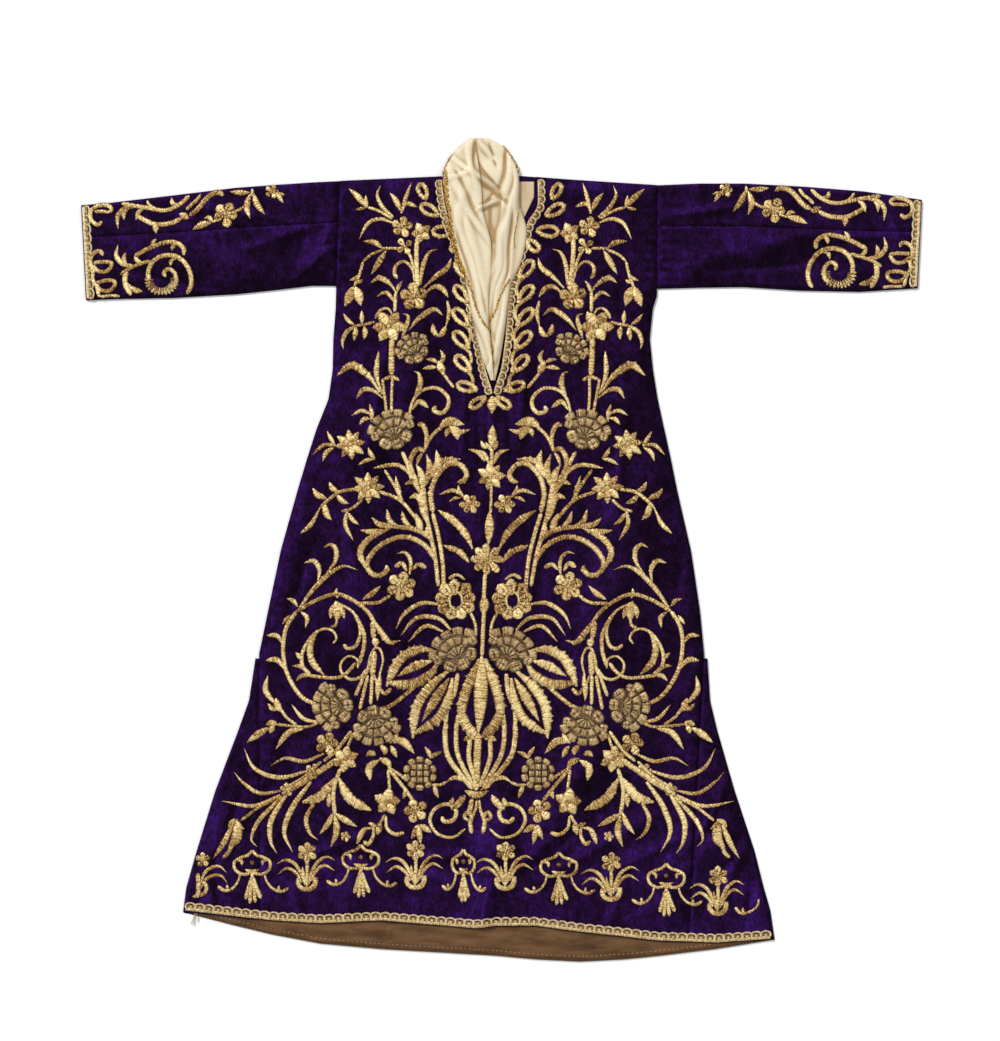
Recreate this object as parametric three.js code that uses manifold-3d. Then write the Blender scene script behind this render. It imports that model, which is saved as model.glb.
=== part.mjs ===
// A Balkan Ottoman wedding dress: purple velvet with raised gold-thread applique, laid flat on its back.
// Millimetres. X runs across the dress, Y from the hem up to the shoulders, Z up from the floor it lies on.
import * as THREE from "three";
import Module from "manifold-3d";

const wasm = await Module();
wasm.setup();

// Cloth and layers
const WALL = 2; // velvet with its backing
const SILK = 1.2; // folded silk at the neck
const SEAM = 0.3; // gap left between two pieces at a seam
const FOLD_RADIUS = 2; // half the distance between the middles of two layers round a fold
const FRONT_Z = 4; // underside of the upper layer
const EDGE_Z = WALL + SEAM; // underside of the upper layer where it is sewn to the lower one
const LINING = { bottom: 2.3, top: 3.5, reach: -560, margin: 4 };
const SHOULDER_SINK = { from: 622, to: 648, height: 1 }; // where the silk comes down past the shoulders
const FACING = { bottom: 2.3, top: 3.3, left: -96, right: 54, foot: 552, head: 611 };

// Raised work: couched gold thread over card
const RAISE = 1.7;
const SUNK = 1;
const BRAID = { gap: 0.5, thickness: 1.2, width: 10, scallop: 3, pitch: 16 };
const LACE = { gap: 1, thickness: 1, width: 9, scallop: 2 };

// Lowest and highest level of the body's panels, and where its seams end
const BODY = { low: -620, high: 612 };
const SIDE_SEAM_TOP = 437;
const GORE_HEAD = -180;

// The middle line of the front leans: its X is AXIS_X at the waist and grows by AXIS_LEAN for each mm of Y.
const AXIS_X = -26;
const AXIS_LEAN = 0.0305;

// Edges of the front and back panels: armhole seams, side seams, then the gore seams.
const PANEL = [
  { y: -690, left: -400, right: 309 },
  { y: -172, left: -402, right: 336 },
  { y: -100, left: -387, right: 329 },
  { y: 0, left: -366, right: 314 },
  { y: 100, left: -338, right: 291 },
  { y: 150, left: -323, right: 281 },
  { y: 200, left: -307, right: 270 },
  { y: 250, left: -287, right: 259 },
  { y: 300, left: -280, right: 251 },
  { y: 350, left: -279, right: 246 },
  { y: 400, left: -275, right: 251 },
  { y: 422, left: -274.5, right: 258 },
  { y: 630, left: -268, right: 258 },
];

// Outer folds of the two side gores
const GORE = [
  { y: -660, left: -530, right: 455 },
  { y: -598, left: -528, right: 446 },
  { y: -560, left: -523, right: 435 },
  { y: -500, left: -506, right: 420 },
  { y: -400, left: -475, right: 387 },
  { y: -300, left: -437, right: 358 },
  { y: -250, left: -419, right: 346 },
  { y: -172, left: -407, right: 341 },
];

// Hem lines of the front and of the longer back
const HEM = [
  { x: -530, front: -598, back: -600 },
  { x: -450, front: -607, back: -621 },
  { x: -380, front: -615, back: -638 },
  { x: -300, front: -620, back: -653 },
  { x: -200, front: -615, back: -662 },
  { x: -45, front: -628, back: -671 },
  { x: -10, front: -624, back: -673 },
  { x: 55, front: -624, back: -679 },
  { x: 130, front: -634, back: -683 },
  { x: 205, front: -642, back: -679 },
  { x: 255, front: -648, back: -674 },
  { x: 355, front: -652, back: -662 },
  { x: 455, front: -645, back: -646 },
];

// Shoulder line of the body
const SHOULDER = [
  { x: -270, y: 612 },
  { x: -93, y: 620 },
  { x: 28, y: 621 },
  { x: 104, y: 615 },
  { x: 260, y: 605 },
];

// Each sleeve from armhole (along 0) to cuff (along 1): top fold, lengthwise seam and bottom fold
const LEFT_SLEEVE = {
  side: "left",
  cuff: { top: -697, bottom: -689 },
  levels: [
    { along: 0, top: 612, seam: 543, bottom: 438 },
    { along: 0.1, top: 610, seam: 541, bottom: 438 },
    { along: 0.24, top: 606, seam: 538, bottom: 431 },
    { along: 0.4, top: 601, seam: 534, bottom: 424 },
    { along: 0.65, top: 588, seam: 526, bottom: 418 },
    { along: 0.89, top: 576, seam: 521, bottom: 416 },
    { along: 1, top: 572, seam: 518, bottom: 414 },
  ],
};
const RIGHT_SLEEVE = {
  side: "right",
  cuff: { top: 697, bottom: 690 },
  levels: [
    { along: 0, top: 605, seam: 537, bottom: 433 },
    { along: 0.16, top: 608, seam: 537, bottom: 435 },
    { along: 0.33, top: 608, seam: 537, bottom: 436 },
    { along: 0.55, top: 603, seam: 533, bottom: 430 },
    { along: 0.78, top: 595, seam: 529, bottom: 428 },
    { along: 1, top: 581, seam: 527, bottom: 434 },
  ],
};

// Soft folds of the upper layer: middle, direction in degrees, half length, half width and height
const FOLDS = [
  { x: -330, y: 455, turn: 40, reach: 70, spread: 22, height: 4 },
  { x: -150, y: 330, turn: 85, reach: 150, spread: 35, height: 2.2 },
  { x: 170, y: 300, turn: 95, reach: 140, spread: 38, height: 2 },
  { x: -230, y: 60, turn: 105, reach: 190, spread: 45, height: 2.6 },
  { x: 190, y: -60, turn: 80, reach: 200, spread: 48, height: 2.8 },
  { x: -20, y: -560, turn: 82, reach: 110, spread: 26, height: 4 },
  { x: 120, y: -400, turn: 62, reach: 170, spread: 42, height: 3 },
  { x: 330, y: -500, turn: 55, reach: 150, spread: 40, height: 3.4 },
  { x: -250, y: -430, turn: 115, reach: 180, spread: 46, height: 3 },
  { x: -460, y: -520, turn: 108, reach: 110, spread: 34, height: 2.6 },
  { x: 430, y: 500, turn: 12, reach: 120, spread: 26, height: 2.4 },
  { x: -520, y: 480, turn: 168, reach: 120, spread: 28, height: 2.6 },
];

// Neck opening with its slit, from the shoulder line down to the foot
const NECK = [
  { y: 262, left: -17, right: -16 },
  { y: 300, left: -28, right: 2 },
  { y: 345, left: -34, right: 8 },
  { y: 440, left: -52, right: 12 },
  { y: 500, left: -68, right: 30 },
  { y: 555, left: -88, right: 44 },
  { y: 585, left: -95, right: 56 },
  { y: 640, left: -98, right: 58 },
];

// Silk that lies in the neck and over its left edge
const NECK_CLOTH = [
  { y: 287, left: -20, right: -12 },
  { y: 300, left: -27, right: -8 },
  { y: 330, left: -38, right: -3 },
  { y: 360, left: -45, right: 3 },
  { y: 390, left: -52, right: 7 },
  { y: 420, left: -57, right: 11 },
  { y: 450, left: -60, right: 18 },
  { y: 470, left: -68, right: 26 },
  { y: 500, left: -80, right: 36 },
  { y: 530, left: -85, right: 42 },
  { y: 560, left: -88, right: 35 },
  { y: 590, left: -96, right: 30 },
  { y: 620, left: -97, right: 29 },
  { y: 640, left: -91, right: 26 },
  { y: 655, left: -80, right: 18 },
  { y: 673, left: -62, right: 3 },
  { y: 683, left: -46, right: -14 },
];
const NECK_FOLDS = [
  { x: -60, y: 575, turn: 80, reach: 60, spread: 11, height: 5 },
  { x: -35, y: 600, turn: 95, reach: 50, spread: 9, height: -3 },
  { x: -12, y: 590, turn: 70, reach: 45, spread: 12, height: 4 },
  { x: -20, y: 485, turn: 93, reach: 70, spread: 8, height: -3 },
  { x: -45, y: 460, turn: 105, reach: 80, spread: 11, height: 4 },
  { x: 8, y: 480, turn: 70, reach: 60, spread: 11, height: 5 },
  { x: -30, y: 655, turn: 10, reach: 40, spread: 12, height: 6 },
  { x: -20, y: 370, turn: 95, reach: 60, spread: 9, height: 3 },
];
const NECK_SAG = { rim: 8.6, floor: 4.4, flat: 12, depth: 26 };

// Raised flowers of the front, given from the middle line for one half
const FLOWERS = [
  { x: 155, y: 535, radius: 20, petals: 5 },
  { x: 123, y: 526, radius: 15, petals: 4 },
  { x: 132, y: 420, radius: 23, petals: 5 },
  { x: 172, y: 370, radius: 26, petals: 5 },
  { x: 130, y: 332, radius: 26, petals: 5 },
  { x: 230, y: 175, radius: 24, petals: 5 },
  { x: 160, y: 197, radius: 33, petals: 6 },
  { x: 29, y: 76, radius: 14, petals: 4 },
  { x: 198, y: 103, radius: 25, petals: 5 },
  { x: 138, y: -60, radius: 23, petals: 5 },
  { x: 45, y: -85, radius: 32, petals: 6 },
  { x: 45, y: -166, radius: 36, petals: 6 },
  { x: 174, y: -290, radius: 32, petals: 6 },
  { x: 243, y: -260, radius: 32, petals: 6 },
  { x: 98, y: -372, radius: 26, petals: 5 },
  { x: 150, y: -417, radius: 21, petals: 5 },
  { x: 103, y: -432, radius: 17, petals: 4 },
  { x: 253, y: -318, radius: 17, petals: 4 },
  { x: 222, y: -348, radius: 20, petals: 5 },
  { x: 318, y: -397, radius: 12, petals: 4 },
];
const MIDDLE_FLOWERS = [
  { x: 4, y: 122, radius: 22, petals: 5 },
  { x: 2, y: -15, radius: 26, petals: 5 },
];

// Raised leaves and scrolls of one half: from, to, sideways bend as a share of the length, and width
const LEAVES = [
  { x: 112, y: 440, toX: 72, toY: 484, bend: 0.1, width: 11 },
  { x: 164, y: 396, toX: 204, toY: 443, bend: 0.22, width: 11 },
  { x: 182, y: 498, toX: 204, toY: 457, bend: -0.1, width: 10 },
  { x: 158, y: 560, toX: 178, toY: 594, bend: 0, width: 10 },
  { x: 231, y: 438, toX: 219, toY: 405, bend: 0, width: 14 },
  { x: 234, y: 438, toX: 246, toY: 404, bend: 0, width: 13 },
  { x: 138, y: 364, toX: 83, toY: 389, bend: 0.18, width: 11 },
  { x: 201, y: 374, toX: 246, toY: 333, bend: 0.35, width: 8 },
  { x: 165, y: 290, toX: 166, toY: 342, bend: 0, width: 10 },
  { x: 183, y: 262, toX: 256, toY: 289, bend: 0.42, width: 15 },
  { x: 134, y: 234, toX: 88, toY: 268, bend: -0.28, width: 9 },
  { x: 84, y: 268, toX: 72, toY: 230, bend: -0.35, width: 8 },
  { x: 68, y: -62, toX: 88, toY: 62, bend: -0.04, width: 8 },
  { x: 88, y: 66, toX: 62, toY: 143, bend: -0.22, width: 9 },
  { x: 84, y: 203, toX: 42, toY: 208, bend: 0.15, width: 14 },
  { x: 144, y: 136, toX: 190, toY: 138, bend: 0, width: 10 },
  { x: 224, y: 100, toX: 308, toY: 27, bend: 0.16, width: 9 },
  { x: 80, y: -6, toX: 158, toY: 37, bend: 0.14, width: 9 },
  { x: 162, y: 38, toX: 205, toY: -12, bend: 0.24, width: 11 },
  { x: 92, y: -18, toX: 180, toY: 1, bend: 0.28, width: 9 },
  { x: 30, y: 14, toX: 78, toY: 62, bend: 0, width: 12 },
  { x: 176, y: -128, toX: 243, toY: -74, bend: 0.15, width: 9 },
  { x: 248, y: -74, toX: 310, toY: -101, bend: 0.12, width: 9 },
  { x: 312, y: -104, toX: 324, toY: -202, bend: 0.18, width: 9 },
  { x: 323, y: -206, toX: 274, toY: -252, bend: 0.16, width: 9 },
  { x: 304, y: -93, toX: 213, toY: -34, bend: -0.16, width: 11 },
  { x: 193, y: -108, toX: 139, toY: -150, bend: 0.1, width: 13 },
  { x: 268, y: -134, toX: 296, toY: -196, bend: 0.3, width: 11 },
  { x: 292, y: -202, toX: 240, toY: -212, bend: 0.2, width: 11 },
  { x: 84, y: -164, toX: 156, toY: -214, bend: 0.16, width: 13 },
  { x: 84, y: -196, toX: 152, toY: -220, bend: -0.3, width: 13 },
  { x: 72, y: -210, toX: 114, toY: -300, bend: 0.1, width: 13 },
  { x: 50, y: -212, toX: 106, toY: -304, bend: -0.14, width: 13 },
  { x: 12, y: -184, toX: 6, toY: -300, bend: 0.2, width: 14 },
  { x: 24, y: -286, toX: 6, toY: -400, bend: 0.08, width: 11 },
  { x: 20, y: -464, toX: 78, toY: -446, bend: -0.35, width: 9 },
  { x: 150, y: -320, toX: 110, toY: -338, bend: 0, width: 13 },
  { x: 170, y: -338, toX: 180, toY: -382, bend: 0, width: 12 },
  { x: 282, y: -388, toX: 305, toY: -501, bend: 0.16, width: 9 },
  { x: 324, y: -412, toX: 331, toY: -503, bend: 0.16, width: 9 },
  { x: 230, y: -376, toX: 177, toY: -431, bend: 0.1, width: 16 },
  { x: 240, y: -378, toX: 291, toY: -418, bend: -0.12, width: 17 },
  { x: 238, y: -440, toX: 242, toY: -492, bend: 0, width: 11 },
  { x: 290, y: -298, toX: 338, toY: -330, bend: 0, width: 12 },
];

// Pots and tassels of the border above the hem, by their place from the middle line
const BORDER = {
  pots: [-280, -98, 47, 223],
  knots: [-190, -20, 138, 315],
  rise: 62,
  cup: { width: 15, height: 30 },
  flower: { up: 46, radius: 14, petals: 5 },
  tassel: { up: 18, down: 30, width: 20 },
};

// Raised motifs of a sleeve: along 0 is the armhole, out is the height from bottom fold (0) to top fold (1)
const SLEEVE_FLOWERS = [
  { along: 0.45, out: 0.8, radius: 18, petals: 6 },
  { along: 0.66, out: 0.24, radius: 20, petals: 6 },
];
const SLEEVE_LEAVES = [
  { along: 0.5, out: 0.82, toAlong: 0.6, toOut: 0.72, bend: 0.25, width: 8 },
  { along: 0.62, out: 0.71, toAlong: 0.8, toOut: 0.86, bend: -0.18, width: 8 },
  { along: 0.58, out: 0.86, toAlong: 0.82, toOut: 0.94, bend: 0.1, width: 7 },
  { along: 0.58, out: 0.1, toAlong: 0.64, toOut: 0.44, bend: 0.3, width: 7 },
  { along: 0.66, out: 0.44, toAlong: 0.76, toOut: 0.2, bend: 0.3, width: 8 },
  { along: 0.82, out: 0.05, toAlong: 0.83, toOut: 0.36, bend: -0.1, width: 8 },
];

// Steps of the meshes
const FRONT_ROWS = 26;
const FRONT_COLUMNS = 12;
const GORE_ROWS = 10;
const SLEEVE_STATIONS = 9;
const FOLD_STEPS = 4;

const VELVET = new THREE.MeshStandardMaterial({ color: 0x2d1556, roughness: 0.95, metalness: 0 });
const GOLD = new THREE.MeshStandardMaterial({ color: 0xc2a065, roughness: 0.5, metalness: 0.6 });
const CREAM = new THREE.MeshStandardMaterial({ color: 0xf0e3c8, roughness: 0.5, metalness: 0 });
const BEIGE = new THREE.MeshStandardMaterial({ color: 0xd2bc9b, roughness: 0.9, metalness: 0 });
const BROWN = new THREE.MeshStandardMaterial({ color: 0x6e4e38, roughness: 0.9, metalness: 0 });

// Value of a table's column at a place along its key, straight between rows
function lookUp(table, key, at, column) {
  const last = table.length - 1;
  const found = table.findIndex((row) => row[key] >= at);
  const upper = found < 0 ? last : Math.max(1, found);
  const [low, high] = [table[upper - 1], table[upper]];
  const share = THREE.MathUtils.clamp((at - low[key]) / (high[key] - low[key]), 0, 1);
  return THREE.MathUtils.lerp(low[column], high[column], share);
}

const axisX = (y) => AXIS_X + AXIS_LEAN * y;

// Height that a table of folds adds at a place
function foldHeight(folds, x, y) {
  return folds.reduce((sum, fold) => {
    const turn = THREE.MathUtils.degToRad(fold.turn);
    const along = (x - fold.x) * Math.cos(turn) + (y - fold.y) * Math.sin(turn);
    const aside = (y - fold.y) * Math.cos(turn) - (x - fold.x) * Math.sin(turn);
    return sum + fold.height * Math.exp(-((aside / fold.spread) ** 2) - (along / fold.reach) ** 4);
  }, 0);
}

// A closed solid from points and triangles, turned so that its faces point out
function closedSolid(points, faces) {
  const volume = faces.reduce((sum, _, k) => {
    if (k % 3) return sum;
    const [a, b, c] = [points[faces[k]], points[faces[k + 1]], points[faces[k + 2]]];
    return sum + a.dot(new THREE.Vector3().crossVectors(b, c));
  }, 0);
  const triVerts = new Uint32Array(volume < 0 ? faces.slice().reverse() : faces);
  const vertProperties = new Float32Array(points.flatMap((point) => point.toArray()));
  return new wasm.Manifold(new wasm.Mesh({ numProp: 3, vertProperties, triVerts }));
}

// A cloth wall lofted through sections; each lists its outer and inner points in step
function wall(sections) {
  const across = sections[0].outer.length;
  const points = sections.flatMap((section) => [...section.outer, ...section.inner]);
  const at = (row, column, side) => (row * 2 + side) * across + column;
  const faces = [];
  const quad = (a, b, c, d) => faces.push(a, b, c, a, c, d);
  const rows = sections.length - 1;
  const columns = across - 1;
  for (let row = 0; row < rows; row++) {
    for (let column = 0; column < columns; column++) {
      quad(at(row, column, 0), at(row, column + 1, 0), at(row + 1, column + 1, 0), at(row + 1, column, 0));
      quad(at(row, column, 1), at(row + 1, column, 1), at(row + 1, column + 1, 1), at(row, column + 1, 1));
    }
    quad(at(row, 0, 0), at(row + 1, 0, 0), at(row + 1, 0, 1), at(row, 0, 1));
    quad(at(row, columns, 0), at(row, columns, 1), at(row + 1, columns, 1), at(row + 1, columns, 0));
  }
  for (let column = 0; column < columns; column++) {
    quad(at(0, column, 0), at(0, column, 1), at(0, column + 1, 1), at(0, column + 1, 0));
    quad(at(rows, column, 0), at(rows, column + 1, 0), at(rows, column + 1, 1), at(rows, column, 1));
  }
  return closedSolid(points, faces);
}

// A flat piece or pad over an outline; lower and upper give its heights at each point
function pad(anyOutline, lower, upper) {
  const outline = THREE.ShapeUtils.isClockWise(anyOutline) ? anyOutline.slice().reverse() : anyOutline;
  const count = outline.length;
  const cap = THREE.ShapeUtils.triangulateShape(outline, []);
  const points = [
    ...outline.map((point) => new THREE.Vector3(point.x, point.y, lower(point.x, point.y))),
    ...outline.map((point) => new THREE.Vector3(point.x, point.y, upper(point.x, point.y))),
  ];
  const faces = cap.flatMap(([a, b, c]) => [a, c, b, a + count, b + count, c + count]);
  for (let k = 0; k < count; k++) {
    const next = (k + 1) % count;
    faces.push(k, next, next + count, k, next + count, k + count);
  }
  return closedSolid(points, faces);
}

function geometryOf(solid) {
  const { vertProperties, triVerts } = solid.getMesh();
  const geometry = new THREE.BufferGeometry();
  geometry.setAttribute("position", new THREE.BufferAttribute(vertProperties, 3));
  geometry.setIndex(new THREE.BufferAttribute(triVerts, 1));
  geometry.computeVertexNormals();
  return geometry;
}

// Height of the top of some solids under a place; off their edge it keeps the last height found
function topOf(...solids) {
  const skin = new THREE.MeshBasicMaterial({ side: THREE.DoubleSide });
  const targets = solids.map((solid) => new THREE.Mesh(geometryOf(solid), skin));
  const sky = 100;
  let height = FRONT_Z + WALL;
  return (x, y) => {
    const ray = new THREE.Raycaster(new THREE.Vector3(x, y, sky), new THREE.Vector3(0, 0, -1));
    const hits = ray.intersectObjects(targets);
    height = hits.length ? hits[0].point.z : height;
    return height;
  };
}

// Front panel: a row of points for each level, dropping to the back panel at side seams and shoulders
const DROPS = [
  { inset: 0, z: EDGE_Z },
  { inset: 6, z: 3.4 },
  { inset: 20, z: FRONT_Z },
];
const dropped = (inset) => lookUp(DROPS, "inset", inset, "z");

function frontUnderside(x, y, inset) {
  return Math.min(dropped(inset), FRONT_Z) + foldHeight(FOLDS, x, y) * Math.min(1, inset / 20);
}

function frontPanel() {
  const { low, high } = BODY;
  const edges = DROPS.map((row) => row.inset);
  const shoulderEdge = edges.slice(0, 2).reverse();
  const sections = [];
  const levels = [];
  for (let k = 0; k <= FRONT_ROWS; k++) {
    levels.push(low + ((high - edges[2] - low) * k) / FRONT_ROWS);
  }
  levels.push(...shoulderEdge.map((inset) => high - inset));
  for (const level of levels) {
    const rise = (level - low) / (high - low);
    const leveled = (x) => {
      const hem = lookUp(HEM, "x", x, "front") - low;
      const shoulder = lookUp(SHOULDER, "x", x, "y") - high;
      return level + hem * (1 - rise) ** 3 + shoulder * rise ** 3;
    };
    const edge = (side) => lookUp(PANEL, "y", leveled(lookUp(PANEL, "y", level, side)), side);
    const left = edge("left") + SEAM / 2;
    const right = edge("right") - SEAM / 2;
    const xs = edges.map((inset) => left + inset);
    for (let k = 1; k < FRONT_COLUMNS; k++) {
      xs.push(THREE.MathUtils.lerp(left + edges[2], right - edges[2], k / FRONT_COLUMNS));
    }
    xs.push(...edges.map((inset) => right - inset).reverse());
    const outer = xs.map((x) => {
      const y = leveled(x);
      const seamed = level < SIDE_SEAM_TOP && level > GORE.at(-1).y;
      const seamInset = seamed ? Math.min(x - left, right - x) : edges[2];
      const inset = Math.min(seamInset, high - level);
      return new THREE.Vector3(x, y, frontUnderside(x, y, inset) + WALL);
    });
    sections.push({ outer, inner: outer.map((point) => point.clone().setZ(point.z - WALL)) });
  }
  const opening = [
    ...NECK.map((row) => new THREE.Vector2(row.left, row.y)),
    ...NECK.map((row) => new THREE.Vector2(row.right, row.y)).reverse(),
  ];
  return wall(sections).subtract(pad(opening, () => 0, () => 40));
}

// Back panel: one flat wall on the floor
function backPanel() {
  const { left: hemLeft, right: hemRight } = PANEL[0];
  const { left: shoulderLeft, right: shoulderRight } = PANEL.at(-1);
  const clear = { left: SEAM / 2, right: -SEAM / 2 };
  const sideLevels = PANEL.slice(1, -1).map((row) => row.y);
  const hem = HEM.map((row) => row.x).filter((x) => x > hemLeft + WALL && x < hemRight - WALL);
  const point = (y, side) => new THREE.Vector2(lookUp(PANEL, "y", y, side) + clear[side], y);
  const hemCorner = (side) => point(lookUp(HEM, "x", PANEL[0][side], "back"), side);
  const shoulderCorner = (x, side) => new THREE.Vector2(x + clear[side], lookUp(SHOULDER, "x", x, "y"));
  const edge = (side) => sideLevels.map((y) => point(y, side));
  const outline = [
    hemCorner("left"),
    ...hem.map((x) => new THREE.Vector2(x, lookUp(HEM, "x", x, "back"))),
    hemCorner("right"),
    ...edge("right"),
    shoulderCorner(shoulderRight, "right"),
    ...SHOULDER.slice(1, -1).map((row) => new THREE.Vector2(row.x, row.y)).reverse(),
    shoulderCorner(shoulderLeft, "left"),
    ...edge("left").reverse(),
  ];
  return pad(outline, () => 0, () => WALL);
}

// Points round a folded layer: from the upper seam out to the fold and back under to the lower seam.
// reach is the outer edge, inward the direction back to the seam.
function foldedPoints(seam, reach, inward, steps) {
  const bend = reach + inward * (FOLD_RADIUS + WALL / 2);
  const points = [];
  for (let k = 0; k < steps; k++) {
    points.push({ place: THREE.MathUtils.lerp(seam, bend, k / steps), angle: Math.PI / 2, upper: true });
  }
  for (let k = 0; k <= FOLD_STEPS; k++) {
    const angle = Math.PI / 2 - (Math.PI * k) / FOLD_STEPS;
    points.push({ place: bend, angle, upper: k === 0 });
  }
  for (let k = steps - 1; k >= 0; k--) {
    points.push({ place: THREE.MathUtils.lerp(seam, bend, k / steps), angle: -Math.PI / 2, upper: false });
  }
  return points;
}

// Outer and inner height and sideways place of such a point
function foldedPlace(point, inward, grow) {
  const radius = FOLD_RADIUS + (grow * WALL) / 2;
  const place = point.place - inward * radius * Math.cos(point.angle);
  const z = FOLD_RADIUS + WALL / 2 + radius * Math.sin(point.angle);
  return { place, z };
}

// Side gore: a wedge folded round the side of the skirt
function gore(side) {
  const inward = side === "left" ? 1 : -1;
  const sections = [];
  for (let k = 0; k <= GORE_ROWS; k++) {
    const rise = 1 - k / GORE_ROWS;
    const level = THREE.MathUtils.lerp(BODY.low, GORE_HEAD, rise);
    const count = foldedPoints(0, 1, inward, 3).length;
    const at = (column, y, grow) => {
      const seam = lookUp(PANEL, "y", y, side) - (inward * SEAM) / 2;
      const point = foldedPoints(seam, lookUp(GORE, "y", y, side), inward, 3)[column];
      return { ...foldedPlace(point, inward, grow), upper: point.upper };
    };
    const build = (grow) =>
      Array.from({ length: count }, (_, column) => {
        const rough = at(column, level, grow);
        const hem = lookUp(HEM, "x", rough.place, rough.upper ? "front" : "back");
        const y = THREE.MathUtils.lerp(hem, level, 1 - (1 - rise) ** 3);
        const spot = at(column, y, grow);
        const inset = Math.min(Math.abs(spot.place - lookUp(GORE, "y", y, side)), Math.abs(level - GORE_HEAD));
        const lift = spot.upper ? foldHeight(FOLDS, spot.place, y) * Math.min(1, inset / 20) : 0;
        return new THREE.Vector3(spot.place, y, spot.z + lift);
      });
    sections.push({ outer: build(1), inner: build(-1) });
  }
  return wall(sections);
}

function sleevePlace(sleeve, along, y) {
  const top = lookUp(sleeve.levels, "along", along, "top");
  const bottom = lookUp(sleeve.levels, "along", along, "bottom");
  const rise = (y - bottom) / (top - bottom);
  const armhole = lookUp(PANEL, "y", y, sleeve.side);
  const cuff = THREE.MathUtils.lerp(sleeve.cuff.bottom, sleeve.cuff.top, rise);
  const clear = Math.sign(cuff) * (SEAM / 2);
  return THREE.MathUtils.lerp(armhole + clear, cuff, along);
}

// One lengthwise piece of a sleeve, folded along its top or bottom edge
function sleevePiece(sleeve, edgeName) {
  const inward = edgeName === "top" ? -1 : 1;
  const sections = [];
  for (let k = 0; k <= SLEEVE_STATIONS; k++) {
    const along = k / SLEEVE_STATIONS;
    const seam = lookUp(sleeve.levels, "along", along, "seam") - (inward * SEAM) / 2;
    const edge = lookUp(sleeve.levels, "along", along, edgeName);
    const points = foldedPoints(seam, edge, inward, edgeName === "top" ? 2 : 3);
    const build = (grow) =>
      points.map((point) => {
        const spot = foldedPlace(point, inward, grow);
        const x = sleevePlace(sleeve, along, spot.place);
        const inset = Math.abs(spot.place - edge);
        const lift = point.upper ? foldHeight(FOLDS, x, spot.place) * Math.min(1, inset / 20) : 0;
        return new THREE.Vector3(x, spot.place, spot.z + lift);
      });
    sections.push({ outer: build(1), inner: build(-1) });
  }
  return wall(sections);
}

// Outline of a flower with round petals
function flowerOutline({ x, y, radius, petals }) {
  const dip = 0.74;
  const points = [];
  for (let k = 0; k < petals * 2; k++) {
    const angle = (Math.PI * k) / petals;
    const reach = radius * (k % 2 ? dip : 1);
    points.push(new THREE.Vector2(x + reach * Math.cos(angle), y + reach * Math.sin(angle)));
  }
  return points;
}

// Outline of a leaf with pointed ends; a bent one has a second pair of points
function leafOutline({ x, y, toX, toY, bend, width }) {
  const stations = bend
    ? [{ along: 0.3, half: 0.48 }, { along: 0.72, half: 0.4 }]
    : [{ along: 0.42, half: 0.5 }];
  const start = new THREE.Vector2(x, y);
  const end = new THREE.Vector2(toX, toY);
  const chord = end.clone().sub(start);
  const aside = new THREE.Vector2(-chord.y, chord.x);
  const middle = start.clone().lerp(end, 0.5).addScaledVector(aside, bend * 2);
  const curve = new THREE.QuadraticBezierCurve(start, middle, end);
  const edge = (sign) =>
    stations.map(({ along, half }) => {
      const tangent = curve.getTangent(along);
      const normal = new THREE.Vector2(-tangent.y, tangent.x);
      return curve.getPoint(along).addScaledVector(normal, sign * half * width);
    });
  return [start, ...edge(-1), end, ...edge(1).reverse()];
}

// Half motif to a place on the dress: side 1 is the right half, -1 its mirror image
const onDress = (outline, side) => outline.map(({ x, y }) => new THREE.Vector2(axisX(y) + side * x, y));

// Joins raised motifs to a panel, each pad following the panel's own top
function withRaised(panel, outlines) {
  const top = topOf(panel);
  const pads = outlines.map((outline) =>
    pad(outline, (x, y) => top(x, y) - SUNK, (x, y) => top(x, y) + RAISE),
  );
  return pads.reduce((whole, each) => whole.add(each), panel);
}

const bothSides = (outlines) => [1, -1].flatMap((side) => outlines.map((each) => onDress(each, side)));

function borderOutlines() {
  const { pots, knots, rise, cup, flower, tassel } = BORDER;
  const foot = (x) => lookUp(HEM, "x", axisX(-620) + x, "front") + rise;
  const placed = (outline) => onDress(outline, 1);
  const potOutlines = pots.flatMap((x) => [
    placed(flowerOutline({ x, y: foot(x) + flower.up, radius: flower.radius, petals: flower.petals })),
    placed(leafOutline({ x, y: foot(x) - 4, toX: x, toY: foot(x) + cup.height, bend: 0, width: cup.width })),
  ]);
  const knotOutlines = knots.map((x) =>
    placed(leafOutline({
      x,
      y: foot(x) - tassel.down + rise / 2,
      toX: x,
      toY: foot(x) + tassel.up + rise / 2,
      bend: 0,
      width: tassel.width,
    })),
  );
  return [...potOutlines, ...knotOutlines];
}

// A point of a sleeve from its share of the length and of the height
function onSleeve(sleeve, along, out) {
  const bottom = lookUp(sleeve.levels, "along", along, "bottom");
  const y = THREE.MathUtils.lerp(bottom, lookUp(sleeve.levels, "along", along, "top"), out);
  return { x: sleevePlace(sleeve, along, y), y };
}

function sleeveOutlines(sleeve) {
  const side = Math.sign(sleeve.cuff.top);
  const flowers = SLEEVE_FLOWERS.map((row) =>
    flowerOutline({ ...onSleeve(sleeve, row.along, row.out), radius: row.radius, petals: row.petals }),
  );
  const leaves = SLEEVE_LEAVES.map((row) => {
    const end = onSleeve(sleeve, row.toAlong, row.toOut);
    const start = onSleeve(sleeve, row.along, row.out);
    return leafOutline({ ...start, toX: end.x, toY: end.y, bend: side * row.bend, width: row.width });
  });
  return [...flowers, ...leaves];
}

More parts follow.
